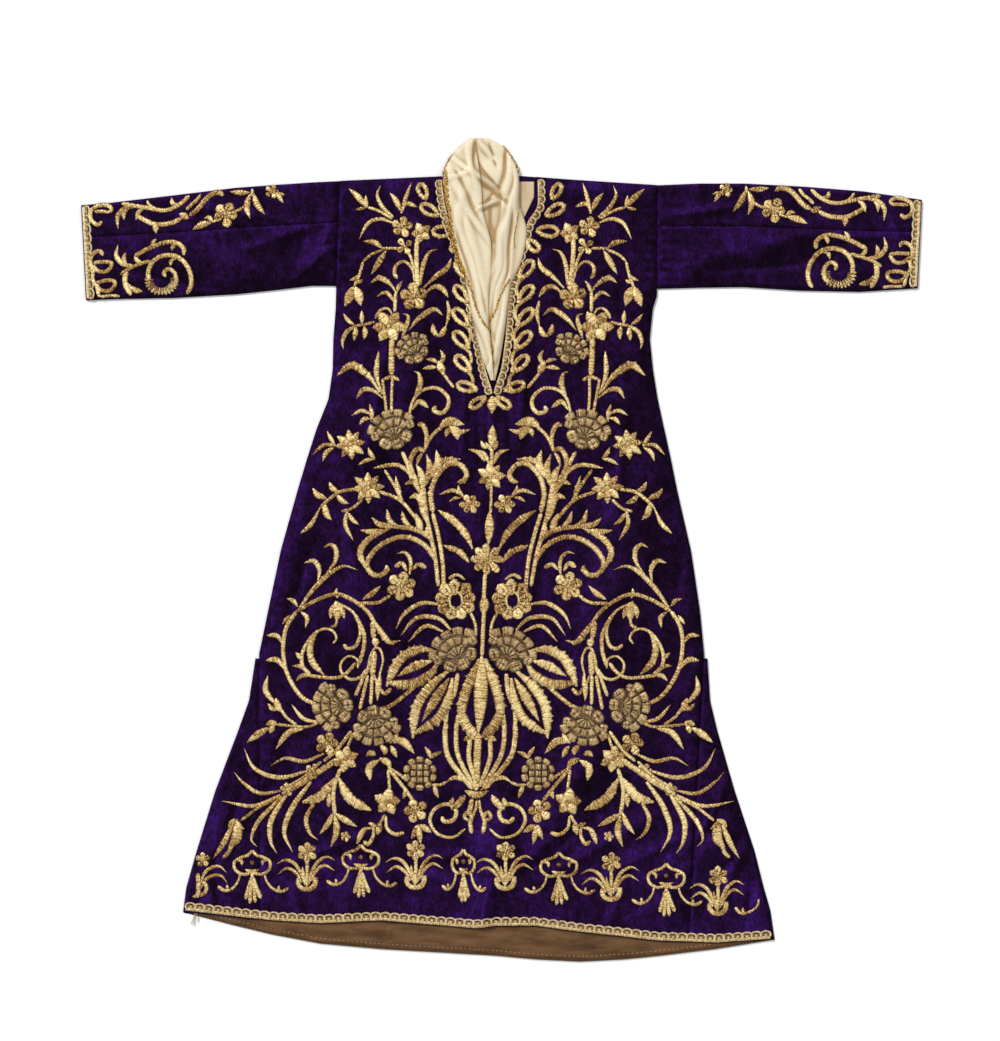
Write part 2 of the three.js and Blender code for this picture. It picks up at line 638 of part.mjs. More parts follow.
// Splits sleeve motifs between the upper and the lower piece by where they start
function sleevePair(sleeve) {
  const outlines = sleeveOutlines(sleeve);
  const seam = lookUp(sleeve.levels, "along", 0.5, "seam");
  const middle = (outline) => outline.reduce((sum, point) => sum + point.y, 0) / outline.length;
  return {
    upper: withRaised(sleevePiece(sleeve, "top"), outlines.filter((each) => middle(each) > seam)),
    lower: withRaised(sleevePiece(sleeve, "bottom"), outlines.filter((each) => middle(each) <= seam)),
  };
}

// A braid along an edge: route(share) gives the edge and the direction into the cloth
function braid(route, length, top) {
  const count = Math.round(length / BRAID.pitch) * 2;
  const sections = [];
  for (let k = 0; k <= count; k++) {
    const { edge, inward } = route(k / count);
    const width = BRAID.width + (k % 2 ? BRAID.scallop : -BRAID.scallop);
    const spots = [edge, edge.clone().addScaledVector(inward, width)];
    const inner = spots.map(({ x, y }) => new THREE.Vector3(x, y, top(x, y) + BRAID.gap));
    sections.push({ outer: inner.map((each) => each.clone().setZ(each.z + BRAID.thickness)), inner });
  }
  return wall(sections);
}

function hemBraid(top) {
  const [left, right] = [-522, 442];
  const route = (share) => {
    const x = THREE.MathUtils.lerp(left, right, share);
    const edge = new THREE.Vector2(x, lookUp(HEM, "x", x, "front") + 1);
    return { edge, inward: new THREE.Vector2(0, 1) };
  };
  return braid(route, right - left, top);
}

function cuffBraid(sleeve, top) {
  const side = Math.sign(sleeve.cuff.top);
  const { top: head, bottom: foot } = sleeve.levels.at(-1);
  const margin = 5;
  const route = (share) => {
    const y = THREE.MathUtils.lerp(foot + margin, head - margin, share);
    return { edge: new THREE.Vector2(sleevePlace(sleeve, 1, y) - side, y), inward: new THREE.Vector2(-side, 0) };
  };
  return braid(route, head - foot, top);
}

// Braid along one edge of the neck opening and its slit
function neckBraid(side, top) {
  const outward = side === "left" ? -1 : 1;
  const [foot, head] = [272, 606];
  const route = (share) => {
    const y = THREE.MathUtils.lerp(foot, head, share);
    const x = lookUp(NECK, "y", y, side) + outward * 0.5;
    return { edge: new THREE.Vector2(x, y), inward: new THREE.Vector2(outward, 0) };
  };
  return braid(route, head - foot, top);
}

// Lining seen inside the longer back hem
function hemLining() {
  const { bottom, top, reach, margin } = LINING;
  const [left, right] = [-516, 434];
  const steps = 16;
  const lower = [];
  for (let k = 0; k <= steps; k++) {
    const x = THREE.MathUtils.lerp(left, right, k / steps);
    lower.push(new THREE.Vector2(x, lookUp(HEM, "x", x, "back") + margin));
  }
  const upper = [new THREE.Vector2(right - 8, reach), new THREE.Vector2(left + 12, reach)];
  return pad([...lower, ...upper], () => bottom, () => top);
}

function backNeckFacing() {
  const { bottom, top, left, right, foot, head } = FACING;
  const outline = [
    new THREE.Vector2(left + 14, foot),
    new THREE.Vector2(right - 16, foot),
    new THREE.Vector2(right, head - 26),
    new THREE.Vector2(right, head),
    new THREE.Vector2(left, head),
    new THREE.Vector2(left, head - 26),
  ];
  return pad(outline, () => bottom, () => top);
}

// Underside of the neck silk: high over the rims of the opening, lower in its middle and past the shoulders
function silkUnderside(x, y) {
  const { rim, floor, flat, depth } = NECK_SAG;
  const inside = Math.min(x - lookUp(NECK, "y", y, "left"), lookUp(NECK, "y", y, "right") - x);
  const past = THREE.MathUtils.smoothstep(y, SHOULDER_SINK.from, SHOULDER_SINK.to);
  const sink = THREE.MathUtils.smoothstep(inside, flat, flat + depth);
  const height = THREE.MathUtils.lerp(rim, floor, sink);
  return THREE.MathUtils.lerp(height, SHOULDER_SINK.height, past) + Math.max(0, foldHeight(NECK_FOLDS, x, y));
}

function neckCloth() {
  const columns = 8;
  const sections = NECK_CLOTH.flatMap((row, k) => {
    const next = NECK_CLOTH[k + 1];
    const middle = next && {
      y: (row.y + next.y) / 2,
      left: (row.left + next.left) / 2,
      right: (row.right + next.right) / 2,
    };
    return (middle ? [row, middle] : [row]).map(({ y, left, right }) => {
      const inner = Array.from({ length: columns + 1 }, (_, column) => {
        const x = THREE.MathUtils.lerp(left, right, column / columns);
        return new THREE.Vector3(x, y, silkUnderside(x, y));
      });
      return { inner, outer: inner.map((point) => point.clone().setZ(point.z + SILK)) };
    });
  });
  return wall(sections);
}

// Gold lace sewn along the left edge of the neck silk
function neckLace(top) {
  const [foot, head] = [345, 640];
  const steps = 24;
  const sections = [];
  for (let k = 0; k <= steps; k++) {
    const y = THREE.MathUtils.lerp(foot, head, k / steps);
    const x = lookUp(NECK_CLOTH, "y", y, "left") + 1;
    const inner = [x, x + LACE.width + (k % 2 ? LACE.scallop : -LACE.scallop)].map(
      (place) => new THREE.Vector3(place, y, top(place, y) + LACE.gap),
    );
    sections.push({ inner, outer: inner.map((point) => point.clone().setZ(point.z + LACE.thickness)) });
  }
  return wall(sections);
}

function piece(name, solid, material) {
  const mesh = new THREE.Mesh(geometryOf(solid), material);
  mesh.name = name;
  return mesh;
}

const plainFront = frontPanel();
const plainGores = { left: gore("left"), right: gore("right") };
const plainSleeves = [LEFT_SLEEVE, RIGHT_SLEEVE].map((sleeve) => ({
  top: topOf(sleevePiece(sleeve, "top"), sleevePiece(sleeve, "bottom")),
  pair: sleevePair(sleeve),
}));
const frontTop = topOf(plainFront, plainGores.left, plainGores.right);
const silk = neckCloth();

const frontOutlines = [
  ...bothSides([...FLOWERS.map(flowerOutline), ...LEAVES.map(leafOutline)]),
  ...MIDDLE_FLOWERS.map((row) => onDress(flowerOutline(row), 1)),
  ...borderOutlines(),
];

const dress = new THREE.Group();
dress.add(
  piece("back_panel", backPanel(), VELVET),
  piece("front_panel", withRaised(plainFront, frontOutlines), VELVET),
  piece("gore_left", plainGores.left, VELVET),
  piece("gore_right", plainGores.right, VELVET),
  piece("sleeve_left_upper", plainSleeves[0].pair.upper, VELVET),
  piece("sleeve_left_lower", plainSleeves[0].pair.lower, VELVET),
  piece("sleeve_right_upper", plainSleeves[1].pair.upper, VELVET),
  piece("sleeve_right_lower", plainSleeves[1].pair.lower, VELVET),
  piece("hem_lining", hemLining(), BROWN),
  piece("back_neck_facing", backNeckFacing(), BEIGE),
  piece("hem_braid", hemBraid(frontTop), GOLD),
  piece("cuff_braid_left", cuffBraid(LEFT_SLEEVE, plainSleeves[0].top), GOLD),
  piece("cuff_braid_right", cuffBraid(RIGHT_SLEEVE, plainSleeves[1].top), GOLD),
  piece("neck_braid_left", neckBraid("left", frontTop), GOLD),
  piece("neck_braid_right", neckBraid("right", frontTop), GOLD),
  piece("neck_cloth", silk, CREAM),
  piece("neck_cloth_lace", neckLace(topOf(silk)), GOLD),
);

export default dress;
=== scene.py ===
"""Builds a purple velvet wedding dress with raised gold-thread embroidery, laid flat, round its frame."""

import math
import random
from collections import namedtuple

import bmesh
import bpy
import numpy as np
from mathutils import Matrix, Vector


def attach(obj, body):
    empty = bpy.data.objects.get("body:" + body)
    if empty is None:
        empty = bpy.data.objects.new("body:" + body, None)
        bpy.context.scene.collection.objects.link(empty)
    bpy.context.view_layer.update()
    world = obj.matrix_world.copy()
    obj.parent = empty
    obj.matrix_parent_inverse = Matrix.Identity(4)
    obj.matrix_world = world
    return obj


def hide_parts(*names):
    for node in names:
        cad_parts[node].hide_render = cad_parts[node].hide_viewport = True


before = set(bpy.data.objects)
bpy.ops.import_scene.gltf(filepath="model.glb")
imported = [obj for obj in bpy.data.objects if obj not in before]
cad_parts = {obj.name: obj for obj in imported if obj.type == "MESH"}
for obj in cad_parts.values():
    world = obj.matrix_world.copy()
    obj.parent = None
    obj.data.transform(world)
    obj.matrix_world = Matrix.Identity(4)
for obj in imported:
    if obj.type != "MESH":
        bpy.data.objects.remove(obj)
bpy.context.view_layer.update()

bl_info = {
    "name": "Velvet wedding dress",
    "version": (1, 0, 0),
    "blender": (4, 5, 0),
    "location": "View3D > Sidebar > Dress",
    "description": "Velvet, gold embroidery, braids, silk and linings of an Ottoman wedding dress laid flat",
    "category": "Add Mesh",
}

MM = 0.001
# Painted glint: strips lying in this direction are painted brightest, as if they caught the light.
GLINT = 1.1  # direction, doubled, of the strips that catch most light
BODY = "root"
SEED = 11

# All tables are in millimetres: X across the dress, Y from the hem to the shoulders, Z up from the floor.
WALL = 2.0  # velvet with its backing
TOP_Z = 6.0  # top of the upper layer
SEWN_Z = 4.3  # top of the upper layer where it is sewn to the lower one
FOLD_RADIUS = 2.0
LINING_Z = 3.5
FACING_Z = 3.3
AXIS_X = -26.0  # the middle line of the front leans
AXIS_LEAN = 0.0305
SIDE_SEAM_TOP = 437.0
GORE_HEAD = -180.0
LOW, HIGH = -620.0, 612.0  # ends of the front's grid, before hem and shoulder shape it
BACK_LOW = -672.0
SLEEVE_FOOT = 400.0  # below this Y there is no sleeve
SEAM_GAP = 0.15  # half the gap between pieces that are sewn together
EDGE_ROLL = 20.0  # how far in from an edge the upper layer slopes down to it
SILK_ROLL = {"reach": 7.0, "height": 3.0}  # edges of the silk roll down over this reach by this height
SUNK = 0.3  # how deep the gold sits in the pile
# Teeth of serrated strips: their pitch on wide and narrow ones, and their depth as shares of the width
TOOTH = {"pitch": 10.0, "small_pitch": 5.5, "one_sided": 0.36, "both_sides": 0.11}

Level = namedtuple("Level", "y left right")
Hem = namedtuple("Hem", "x front back")
Shoulder = namedtuple("Shoulder", "x y")
Station = namedtuple("Station", "along top seam bottom")
Sleeve = namedtuple("Sleeve", "side sign cuff_top cuff_bottom stations")
Fold = namedtuple("Fold", "x y turn reach spread height")
Strip = namedtuple("Strip", "form width route")
Flower = namedtuple("Flower", "form x y radius petals turn")
Loop = namedtuple("Loop", "x y turn length width further", defaults=(0,))
Pod = namedtuple("Pod", "out turn length width slot")

# X of the side seams of front and back at heights Y
PANEL = (
    Level(-690, -400, 309),
    Level(-172, -402, 336),
    Level(-100, -387, 329),
    Level(0, -366, 314),
    Level(100, -338, 291),
    Level(150, -323, 281),
    Level(200, -307, 270),
    Level(250, -287, 259),
    Level(300, -280, 251),
    Level(350, -279, 246),
    Level(400, -275, 251),
    Level(422, -274.5, 258),
    Level(630, -268, 258),
)
# X of the folds of the side gores
GORE = (
    Level(-660, -530, 455),
    Level(-598, -528, 446),
    Level(-560, -523, 435),
    Level(-500, -506, 420),
    Level(-400, -475, 387),
    Level(-300, -437, 358),
    Level(-250, -419, 346),
    Level(-172, -407, 341),
)
# Y of the front and back hem across the dress
HEM = (
    Hem(-530, -598, -600),
    Hem(-450, -607, -621),
    Hem(-380, -615, -638),
    Hem(-300, -620, -653),
    Hem(-200, -615, -662),
    Hem(-45, -628, -671),
    Hem(-10, -624, -673),
    Hem(55, -624, -679),
    Hem(130, -634, -683),
    Hem(205, -642, -679),
    Hem(255, -648, -674),
    Hem(355, -652, -662),
    Hem(455, -645, -646),
)
# Y of the shoulder line, where front and back meet
SHOULDER = (
    Shoulder(-270, 612),
    Shoulder(-93, 620),
    Shoulder(28, 621),
    Shoulder(104, 615),
    Shoulder(260, 605),
)
# Y of a sleeve's upper fold, long seam and lower fold by shares of its length, and X of its cuff's two ends
LEFT_SLEEVE = Sleeve(
    "left",
    -1,
    -697,
    -689,
    (
        Station(0, 612, 543, 438),
        Station(0.1, 610, 541, 438),
        Station(0.24, 606, 538, 431),
        Station(0.4, 601, 534, 424),
        Station(0.65, 588, 526, 418),
        Station(0.89, 576, 521, 416),
        Station(1, 572, 518, 414),
    ),
)
RIGHT_SLEEVE = Sleeve(
    "right",
    1,
    697,
    690,
    (
        Station(0, 605, 537, 433),
        Station(0.16, 608, 537, 435),
        Station(0.33, 608, 537, 436),
        Station(0.55, 603, 533, 430),
        Station(0.78, 595, 529, 428),
        Station(1, 581, 527, 434),
    ),
)
SLEEVES = (LEFT_SLEEVE, RIGHT_SLEEVE)

# Broad folds of the upper layer, as its solids have them
FOLDS = (
    Fold(-330, 455, 40, 70, 22, 4),
    Fold(-150, 330, 85, 150, 35, 2.2),
    Fold(170, 300, 95, 140, 38, 2),
    Fold(-230, 60, 105, 190, 45, 2.6),
    Fold(190, -60, 80, 200, 48, 2.8),
    Fold(-20, -560, 82, 110, 26, 4),
    Fold(120, -400, 62, 170, 42, 3),
    Fold(330, -500, 55, 150, 40, 3.4),
    Fold(-250, -430, 115, 180, 46, 3),
    Fold(-460, -520, 108, 110, 34, 2.6),
    Fold(430, 500, 12, 120, 26, 2.4),
    Fold(-520, 480, 168, 120, 28, 2.6),
)

# Creases of the velvet: ridges stand up, troughs are negative
CREASES = (
    Fold(-318, 470, 38, 46, 6, 2.6),
    Fold(-345, 452, 44, 40, 7, -1.8),
    Fold(-300, 500, 62, 34, 6, 1.6),
    Fold(-362, 520, 20, 60, 8, 1.4),
    Fold(-450, 560, 172, 70, 7, 1.2),
    Fold(-560, 450, 165, 60, 7, -1.3),
    Fold(300, 480, 140, 46, 7, 1.8),
    Fold(330, 560, 8, 70, 8, 1.3),
    Fold(430, 470, 4, 90, 7, -1.2),
    Fold(560, 520, 178, 70, 6, 1),
    Fold(-205, 250, 80, 90, 6, 1.5),
    Fold(-190, 180, 96, 70, 7, -1.2),
    Fold(-60, 230, 88, 60, 4, 1.2),
    Fold(-38, 215, 92, 66, 4, -1.1),
    Fold(-14, 222, 88, 58, 4, 1.3),
    Fold(12, 214, 94, 52, 4, -1),
    Fold(34, 228, 86, 60, 4, 1.1),
    Fold(150, 230, 100, 66, 6, 1),
    Fold(196, 140, 84, 80, 7, 1.3),
    Fold(-250, 20, 98, 80, 8, 1.2),
    Fold(-330, -40, 70, 60, 8, -1.4),
    Fold(-20, 40, 90, 80, 5, -1.1),
    Fold(60, -20, 76, 70, 6, 1),
    Fold(250, -60, 104, 90, 8, 1.4),
    Fold(300, -20, 80, 60, 8, -1.2),
    Fold(-140, -120, 60, 60, 6, 0.9),
    Fold(80, -330, 96, 70, 7, 1.1),
    Fold(-60, -505, 6, 80, 6, 1),
    Fold(-180, -520, 172, 90, 8, -1.2),
    Fold(-300, -500, 20, 90, 7, 1.3),
    Fold(-420, -430, 62, 90, 7, 1.2),
    Fold(-455, -470, 70, 70, 6, -1.2),
    Fold(-485, -545, 100, 50, 7, 1.5),
    Fold(40, -520, 40, 90, 10, 2),
    Fold(90, -490, 36, 110, 9, -1.6),
    Fold(150, -500, 30, 90, 10, 1.8),
    Fold(230, -510, 28, 80, 9, 1.4),
    Fold(300, -520, 48, 70, 8, -1.4),
    Fold(350, -430, 62, 80, 7, 1.5),
    Fold(390, -520, 66, 80, 7, 1.3),
    Fold(410, -590, 80, 40, 6, -1),
    Fold(-28, -600, 80, 42, 7, 2.4),
    Fold(-6, -598, 86, 40, 6, -2),
    Fold(190, -590, 70, 36, 7, 1.4),
    Fold(-340, -590, 96, 34, 7, 1.2),
)
# Puckers that run out from a seam: their pitch along it, how far they reach and their height
PUCKER = {"pitch": 17.0, "reach": 15.0, "height": 0.7}

# X of the edges of the neck opening and its slit
NECK = (
    Level(262, -17, -16),
    Level(300, -28, 2),
    Level(345, -34, 8),
    Level(440, -52, 12),
    Level(500, -68, 30),
    Level(555, -88, 44),
    Level(585, -95, 56),
    Level(640, -98, 58),
)
# Folds of the silk
NECK_FOLDS = (
    Fold(-70, 560, 78, 90, 9, 2.4),
    Fold(-58, 590, 118, 44, 4, -2.6),
    Fold(-50, 560, 122, 60, 5, 2.4),
    Fold(-66, 500, 104, 60, 4, -2),
    Fold(-44, 480, 100, 90, 6, 2.6),
    Fold(-36, 440, 104, 60, 3, -2),
    Fold(-50, 640, 96, 40, 5, 2.6),
    Fold(-44, 655, 88, 24, 3, -3),
    Fold(-66, 640, 140, 34, 5, 2),
    Fold(-80, 620, 20, 22, 4, 1.6),
    Fold(-24, 660, 130, 22, 4, 2.4),
    Fold(-14, 652, 100, 20, 3, -2),
    Fold(2, 630, 76, 40, 4, -3),
    Fold(10, 620, 80, 46, 5, 3),
    Fold(22, 600, 92, 50, 4, 1.8),
    Fold(14, 560, 84, 60, 5, 2.6),
    Fold(2, 520, 74, 60, 6, 2.4),
    Fold(12, 500, 82, 60, 3, -2.2),
    Fold(-4, 470, 84, 80, 6, 2.6),
    Fold(-10, 420, 80, 60, 3, -1.8),
    Fold(-42, 400, 112, 70, 5, 2.4),
    Fold(-30, 350, 108, 60, 4, 2),
    Fold(-6, 350, 76, 60, 4, 2),
    Fold(-12, 590, 150, 24, 5, -4),
    Fold(-22, 605, 140, 22, 4, 3),
    Fold(-20, 572, 24, 20, 3.5, 4),
    Fold(-20, 584, 60, 16, 4, -3),
    Fold(-16, 545, 100, 24, 5, -2),
)

# Inner edges of the braids along the neck opening
NECK_BRAID_EDGE = (
    Level(264, -15, -13),
    Level(279, -20, -8),
    Level(300, -26, -1),
    Level(320, -30, 2),
    Level(350, -36, 6),
    Level(400, -46, 9),
    Level(440, -53, 13),
    Level(500, -69, 31),
    Level(535, -82, 40),
    Level(548, -87, 45),
    Level(560, -90, 54),
    Level(572, -93, 60),
    Level(600, -97, 60),
    Level(615, -98, 59),
)
# Lengths of the silk, the lowest first: flat size and area of the cut in metres, lift above the rest, least
# height, share of the folds it takes, how much painted shade browns it all over, and its edges in rows of Y
Flap = namedtuple("Flap", "name flat area lift least relief shade rows")
SILK_FLAPS = (
    Flap(
        name="inner",
        flat=(0.078, 0.275),
        area=0.0165,
        lift=-3.6,
        least=4.6,
        relief=1.0,
        shade=0.3,
        rows=(
            Level(400, -34, -6),
            Level(480, -40, 8),
            Level(540, -50, 12),
            Level(600, -58, 16),
            Level(640, -60, 14),
            Level(672, -50, -10),
        ),
    ),
    Flap(
        name="right_edge",
        flat=(0.034, 0.132),
        area=0.0036,
        lift=-1.0,
        least=0,
        relief=0.5,
        shade=0.12,
        rows=(
            Level(436, 6, 13),
            Level(450, 4, 20),
            Level(470, 4, 30),
            Level(490, 6, 36),
            Level(510, 8, 40),
            Level(530, 10, 42),
            Level(545, 14, 39),
            Level(566, 22, 31),
        ),
    ),
    Flap(
        name="right",
        flat=(0.06, 0.4),
        area=0.0148,
        lift=0.2,
        least=0,
        relief=1.0,
        shade=0.04,
        rows=(
            Level(281, -14, -11),
            Level(300, -13, -6),
            Level(330, -15, 0),
            Level(365, -20, 5.5),
            Level(400, -22, 9.5),
            Level(440, -21, 14),
            Level(460, -20, 19),
            Level(500, -17, 22),
            Level(520, -12, 23),
            Level(545, -4, 28),
            Level(565, -1, 30),
            Level(598, -1, 29),
            Level(612, -14, 29),
            Level(625, -27, 28),
            Level(640, -37, 24),
            Level(655, -40, 16),
            Level(668, -42, 6),
            Level(676, -43, -4),
            Level(680, -44, -13),
            Level(682.5, -45, -30),
        ),
    ),
    Flap(
        name="left",
        flat=(0.066, 0.4),
        area=0.0175,
        lift=2.0,
        least=0,
        relief=1.0,
        shade=0.0,
        rows=(
            Level(281, -17, -13),
            Level(300, -25, -14),
            Level(330, -35, -16),
            Level(365, -44, -19),
            Level(400, -51, -22),
            Level(430, -56, -21),
            Level(460, -61, -17),
            Level(500, -76, -16),
            Level(520, -80, -19),
            Level(540, -85, -25),
            Level(560, -88, -31),
            Level(580, -91, -32),
            Level(600, -96, -33),
            Level(620, -97, -35),
            Level(640, -91, -38),
            Level(655, -81, -41),
            Level(668, -71, -43),
            Level(676, -61, -42),
            Level(680, -53, -42),
            Level(682.5, -44, -43),
        ),
    ),
)
# Underside of the silk over the rims of the opening, and past the shoulders, where it drops over a short run
Drop = namedtuple("Drop", "shoulder run rim_z floor_z")
SILK_DROP = Drop(620.0, 34.0, 9.0, 3.0)
SILK_WALL = 0.8
# Edgings of the silk: width and the places passed
SILK_EDGINGS = (
    (4, ((-82, 655), (-89, 643), (-94, 630))),
    (9, ((-94, 628), (-92, 604), (-88, 564), (-83, 532), (-78, 505), (-70, 478), (-62, 460))),
    (5, ((-62, 460), (-50, 430), (-43, 405), (-35, 385), (-27, 372), (-20, 363))),
    (4.5, ((13, 448), (8, 440), (0, 425), (-6, 408), (-12, 392), (-18, 378))),
    (3, ((-20, 363), (-18, 345), (-15, 320), (-13, 306))),
    (5, ((2, 670), (9, 662), (16, 652), (23, 641), (28, 626))),
    (2.0, ((28, 558), (25, 540), (21, 518), (22, 500))),
)

# Sheets that show inside the hem and the neck: left end, width, lower and upper end
Inset = namedtuple("Inset", "left width foot head")
HEM_LINING = Inset(-516.0, 950.0, None, -560.0)
NECK_FACING = Inset(-96.0, 150.0, 552.0, 611.0)
LINING_WALL = 0.9
LINING_MARGIN = 2.5  # how far the lining stays inside the back hem
LINING_FOLDS = (
    Fold(-462, -606, -4, 34, 3, 2.2),
    Fold(-398, -624, 12, 26, 4, -0.9),
    Fold(-352, -628, -28, 16, 3, 2.4),
    Fold(-310, -641, -6, 40, 3, 2.2),
    Fold(-262, -636, 35, 14, 4, -1.0),
    Fold(-226, -649, -9, 32, 3, 2.4),
    Fold(-186, -634, 62, 13, 3, 2.0),
    Fold(-150, -654, 8, 24, 3.5, -1.0),
    Fold(-104, -646, -18, 30, 3, 2.4),
    Fold(-62, -660, 4, 26, 3, 2.0),
    Fold(-30, -644, 48, 14, 4, -1.0),
    Fold(18, -652, -12, 34, 3, 2.4),
    Fold(66, -668, 6, 24, 3, 2.0),
    Fold(104, -650, -40, 15, 3, 2.2),
    Fold(150, -660, 14, 32, 3.5, -1.0),
    Fold(196, -668, -8, 26, 3, 2.4),
    Fold(238, -656, 30, 15, 3, 2.0),
    Fold(288, -664, 3, 34, 3, 2.2),
)
# Pitch of the running stitches of the back hem and of the picots along its edge
STITCH_PITCH, PICOT_PITCH = 7.5, 4.6
LOOSE_THREADS = (
    ((-507, -601), (-511, -611), (-516, -622)),
    ((-509, -601), (-509, -612), (-510, -624)),
    ((-506, -602), (-503, -611), (-504, -618)),
)


def strip(form, width, *route):
    """A row of embroidery: its form, its greatest width and the places it passes."""
    return Strip(form, width, route)


# Embroidery of the right half, measured from the middle line; the left half is its mirror image. A stem and a
# loop keep their width, a hook widens, and a blade, leaf, comma, saw and petal taper, each in its way. Left,
# right or both after a form gives it teeth on those sides. A loop's "further" moves its left twin outwards.


LOOP_TAIL = strip("stem", 7, (10, 6), (1, -4), (-1, -18), (7, -32))
NECK_LOOPS = (
    Loop(90, 577, 64, 38, 27, 24),
    Loop(78, 552, 30, 44, 29, 13),
    Loop(63, 530, -4, 46, 31),
    Loop(48, 518, -42, 38, 27),
    Loop(39, 446, 54, 46, 30),
    Loop(38, 406, 50, 46, 29),
    Loop(37, 368, 48, 47, 30),
    Loop(35, 330, 48, 47, 30),
    Loop(31, 292, 46, 46, 29),
    Loop(18, 264, 16, 44, 28),
    Loop(4, 256, -34, 40, 26),
)
NECK_PENDANT = strip("leaf", 18, (3, 256), (3, 242), (3, 226))

CHEST_SPRAY = (
    strip("blade", 8, (157, 558), (150, 585), (142, 609)),
    strip("leaf", 11, (158, 562), (167, 580), (177, 592)),
    strip("comma", 9, (158, 562), (148, 574), (131, 569)),
    strip("blade", 8, (170, 552), (188, 568), (198, 588), (193, 604)),
    strip("stem", 6, (172, 549), (194, 562), (213, 568)),
    strip("leaf", 12, (215, 568), (228, 584), (245, 599)),
    strip("leaf", 8, (214, 567), (216, 577), (217, 588)),
    strip("leaf", 7, (216, 568), (224, 566), (233, 564)),
    strip("blade", 8, (172, 543), (192, 549), (212, 541), (226, 515)),
    strip("stem", 6, (160, 500), (175, 500), (188, 500)),
    strip("leaf", 11, (186, 500), (200, 510), (219, 512)),
    strip("stem", 6, (186, 498), (206, 489), (218, 478)),
    strip("leaf", 12, (180, 497), (190, 480), (204, 457)),
    strip("stem", 6, (218, 478), (224, 455), (232, 436)),
    strip("leaf", 8, (222, 458), (228, 451), (240, 447)),
    strip("leaf", 8, (218, 448), (222, 445), (230, 443)),
    strip("leaf", 18, (230, 437), (224, 422), (219, 405)),
    strip("leaf", 18, (232, 437), (239, 420), (246, 404)),
    strip("stem", 9, (126, 436), (129, 470), (130, 500), (128, 522)),
    strip("stem", 6, (133, 465), (140, 487), (148, 500)),
    strip("blade", 9, (122, 440), (119, 468), (110, 492), (95, 499)),
    strip("hook", 8, (131, 443), (136, 465), (149, 478), (163, 472), (165, 458), (160, 450)),
    strip("comma", 11, (116, 435), (96, 454), (78, 468), (72, 484)),
    strip("comma", 11, (114, 425), (100, 436), (86, 434), (75, 419)),
    strip("stem", 7, (163, 395), (162, 428)),
    strip("leaf", 8, (161, 426), (157, 438), (151, 446)),
    strip("comma", 13, (162, 428), (172, 442), (190, 452), (204, 443)),
    strip("blade", 8, (165, 413), (178, 427), (194, 420)),
    strip("hook", 7, (166, 389), (174, 400), (186, 398), (195, 384)),
    strip("leaf", 11, (83, 389), (98, 399), (122, 384), (139, 364)),
    strip("blade", 8, (76, 413), (73, 392), (78, 369)),
    strip("leaf", 11, (77, 372), (84, 358), (94, 354)),
    strip("leaf", 11, (99, 375), (97, 362), (88, 353)),
    strip("leaf", 9, (150, 350), (140, 385), (150, 392)),
    strip("stem", 6, (195, 378), (212, 374), (226, 372)),
    strip("blade", 9, (226, 372), (241, 362), (248, 346), (246, 333)),
    strip("leaf", 9, (217, 375), (217, 386), (218, 397)),
    strip("leaf", 8, (229, 373), (240, 381), (248, 392)),
    strip("leaf", 11, (213, 371), (211, 361), (212, 349)),
    strip("leaf", 11, (226, 370), (227, 360), (229, 347)),
)
BREAST_SPRAY = (
    strip("stem", 6, (61, 269), (73, 284), (82, 296)),
    strip("leaf", 15, (78, 292), (84, 303), (88, 314)),
    strip("leaf", 9, (86, 306), (80, 320), (86, 332)),
    strip("leaf", 8, (88, 309), (97, 315), (109, 316)),
    strip("leaf", 9, (90, 303), (101, 303), (114, 300)),
    strip("stem", 11, (165, 290), (166, 318), (166, 352)),
    strip("stem", 6, (163, 228), (164, 258), (163, 288)),
    strip("stem", 6, (171, 226), (176, 258), (180, 284)),
    strip("stem", 7, (152, 281), (164, 287), (178, 283)),
    strip("comma", 12, (180, 258), (191, 292), (188, 330)),
    strip("comma", 18, (183, 262), (204, 291), (232, 308), (256, 289)),
    strip("comma", 12, (178, 252), (196, 266), (213, 266), (222, 251)),
    strip("hook", 9, (135, 219), (127, 250), (110, 266), (88, 268), (71, 254), (70, 238), (80, 227),
          (93, 231), (90, 239)),
    strip("leaf", 11, (126, 252), (117, 275), (120, 292), (128, 296)),
    strip("comma", 11, (129, 233), (118, 246), (102, 236)),
    strip("leaf", 9, (196, 212), (196, 226), (200, 242)),
    strip("leaf", 8, (197, 225), (213, 231), (229, 223)),
    strip("leaf", 9, (198, 218), (208, 217), (216, 208)),
    strip("leaf", 8, (254, 172), (262, 184), (269, 197)),
    strip("blade", 8, (255, 173), (274, 174), (292, 158)),
    strip("leaf", 9, (256, 170), (269, 162), (275, 147)),
    strip("leaf", 9, (188, 152), (196, 160), (200, 170)),
    strip("leaf", 8, (188, 151), (201, 149), (216, 141)),
)
FINIAL = (
    strip("blade", 9, (6, 148), (18, 162), (34, 167)),
    strip("leaf", 9, (3, 168), (9, 173), (14, 181)),
    strip("blade", 8, (40, 88), (47, 98), (49, 108)),
    strip("blade", 8, (42, 91), (58, 99), (80, 92)),
    strip("leaf", 7, (44, 87), (54, 86), (63, 80)),
    strip("saw", 16, (22, 2), (34, 26), (54, 48), (81, 66)),
    strip("saw left", 14, (27, -20), (43, -2), (70, 8)),
)
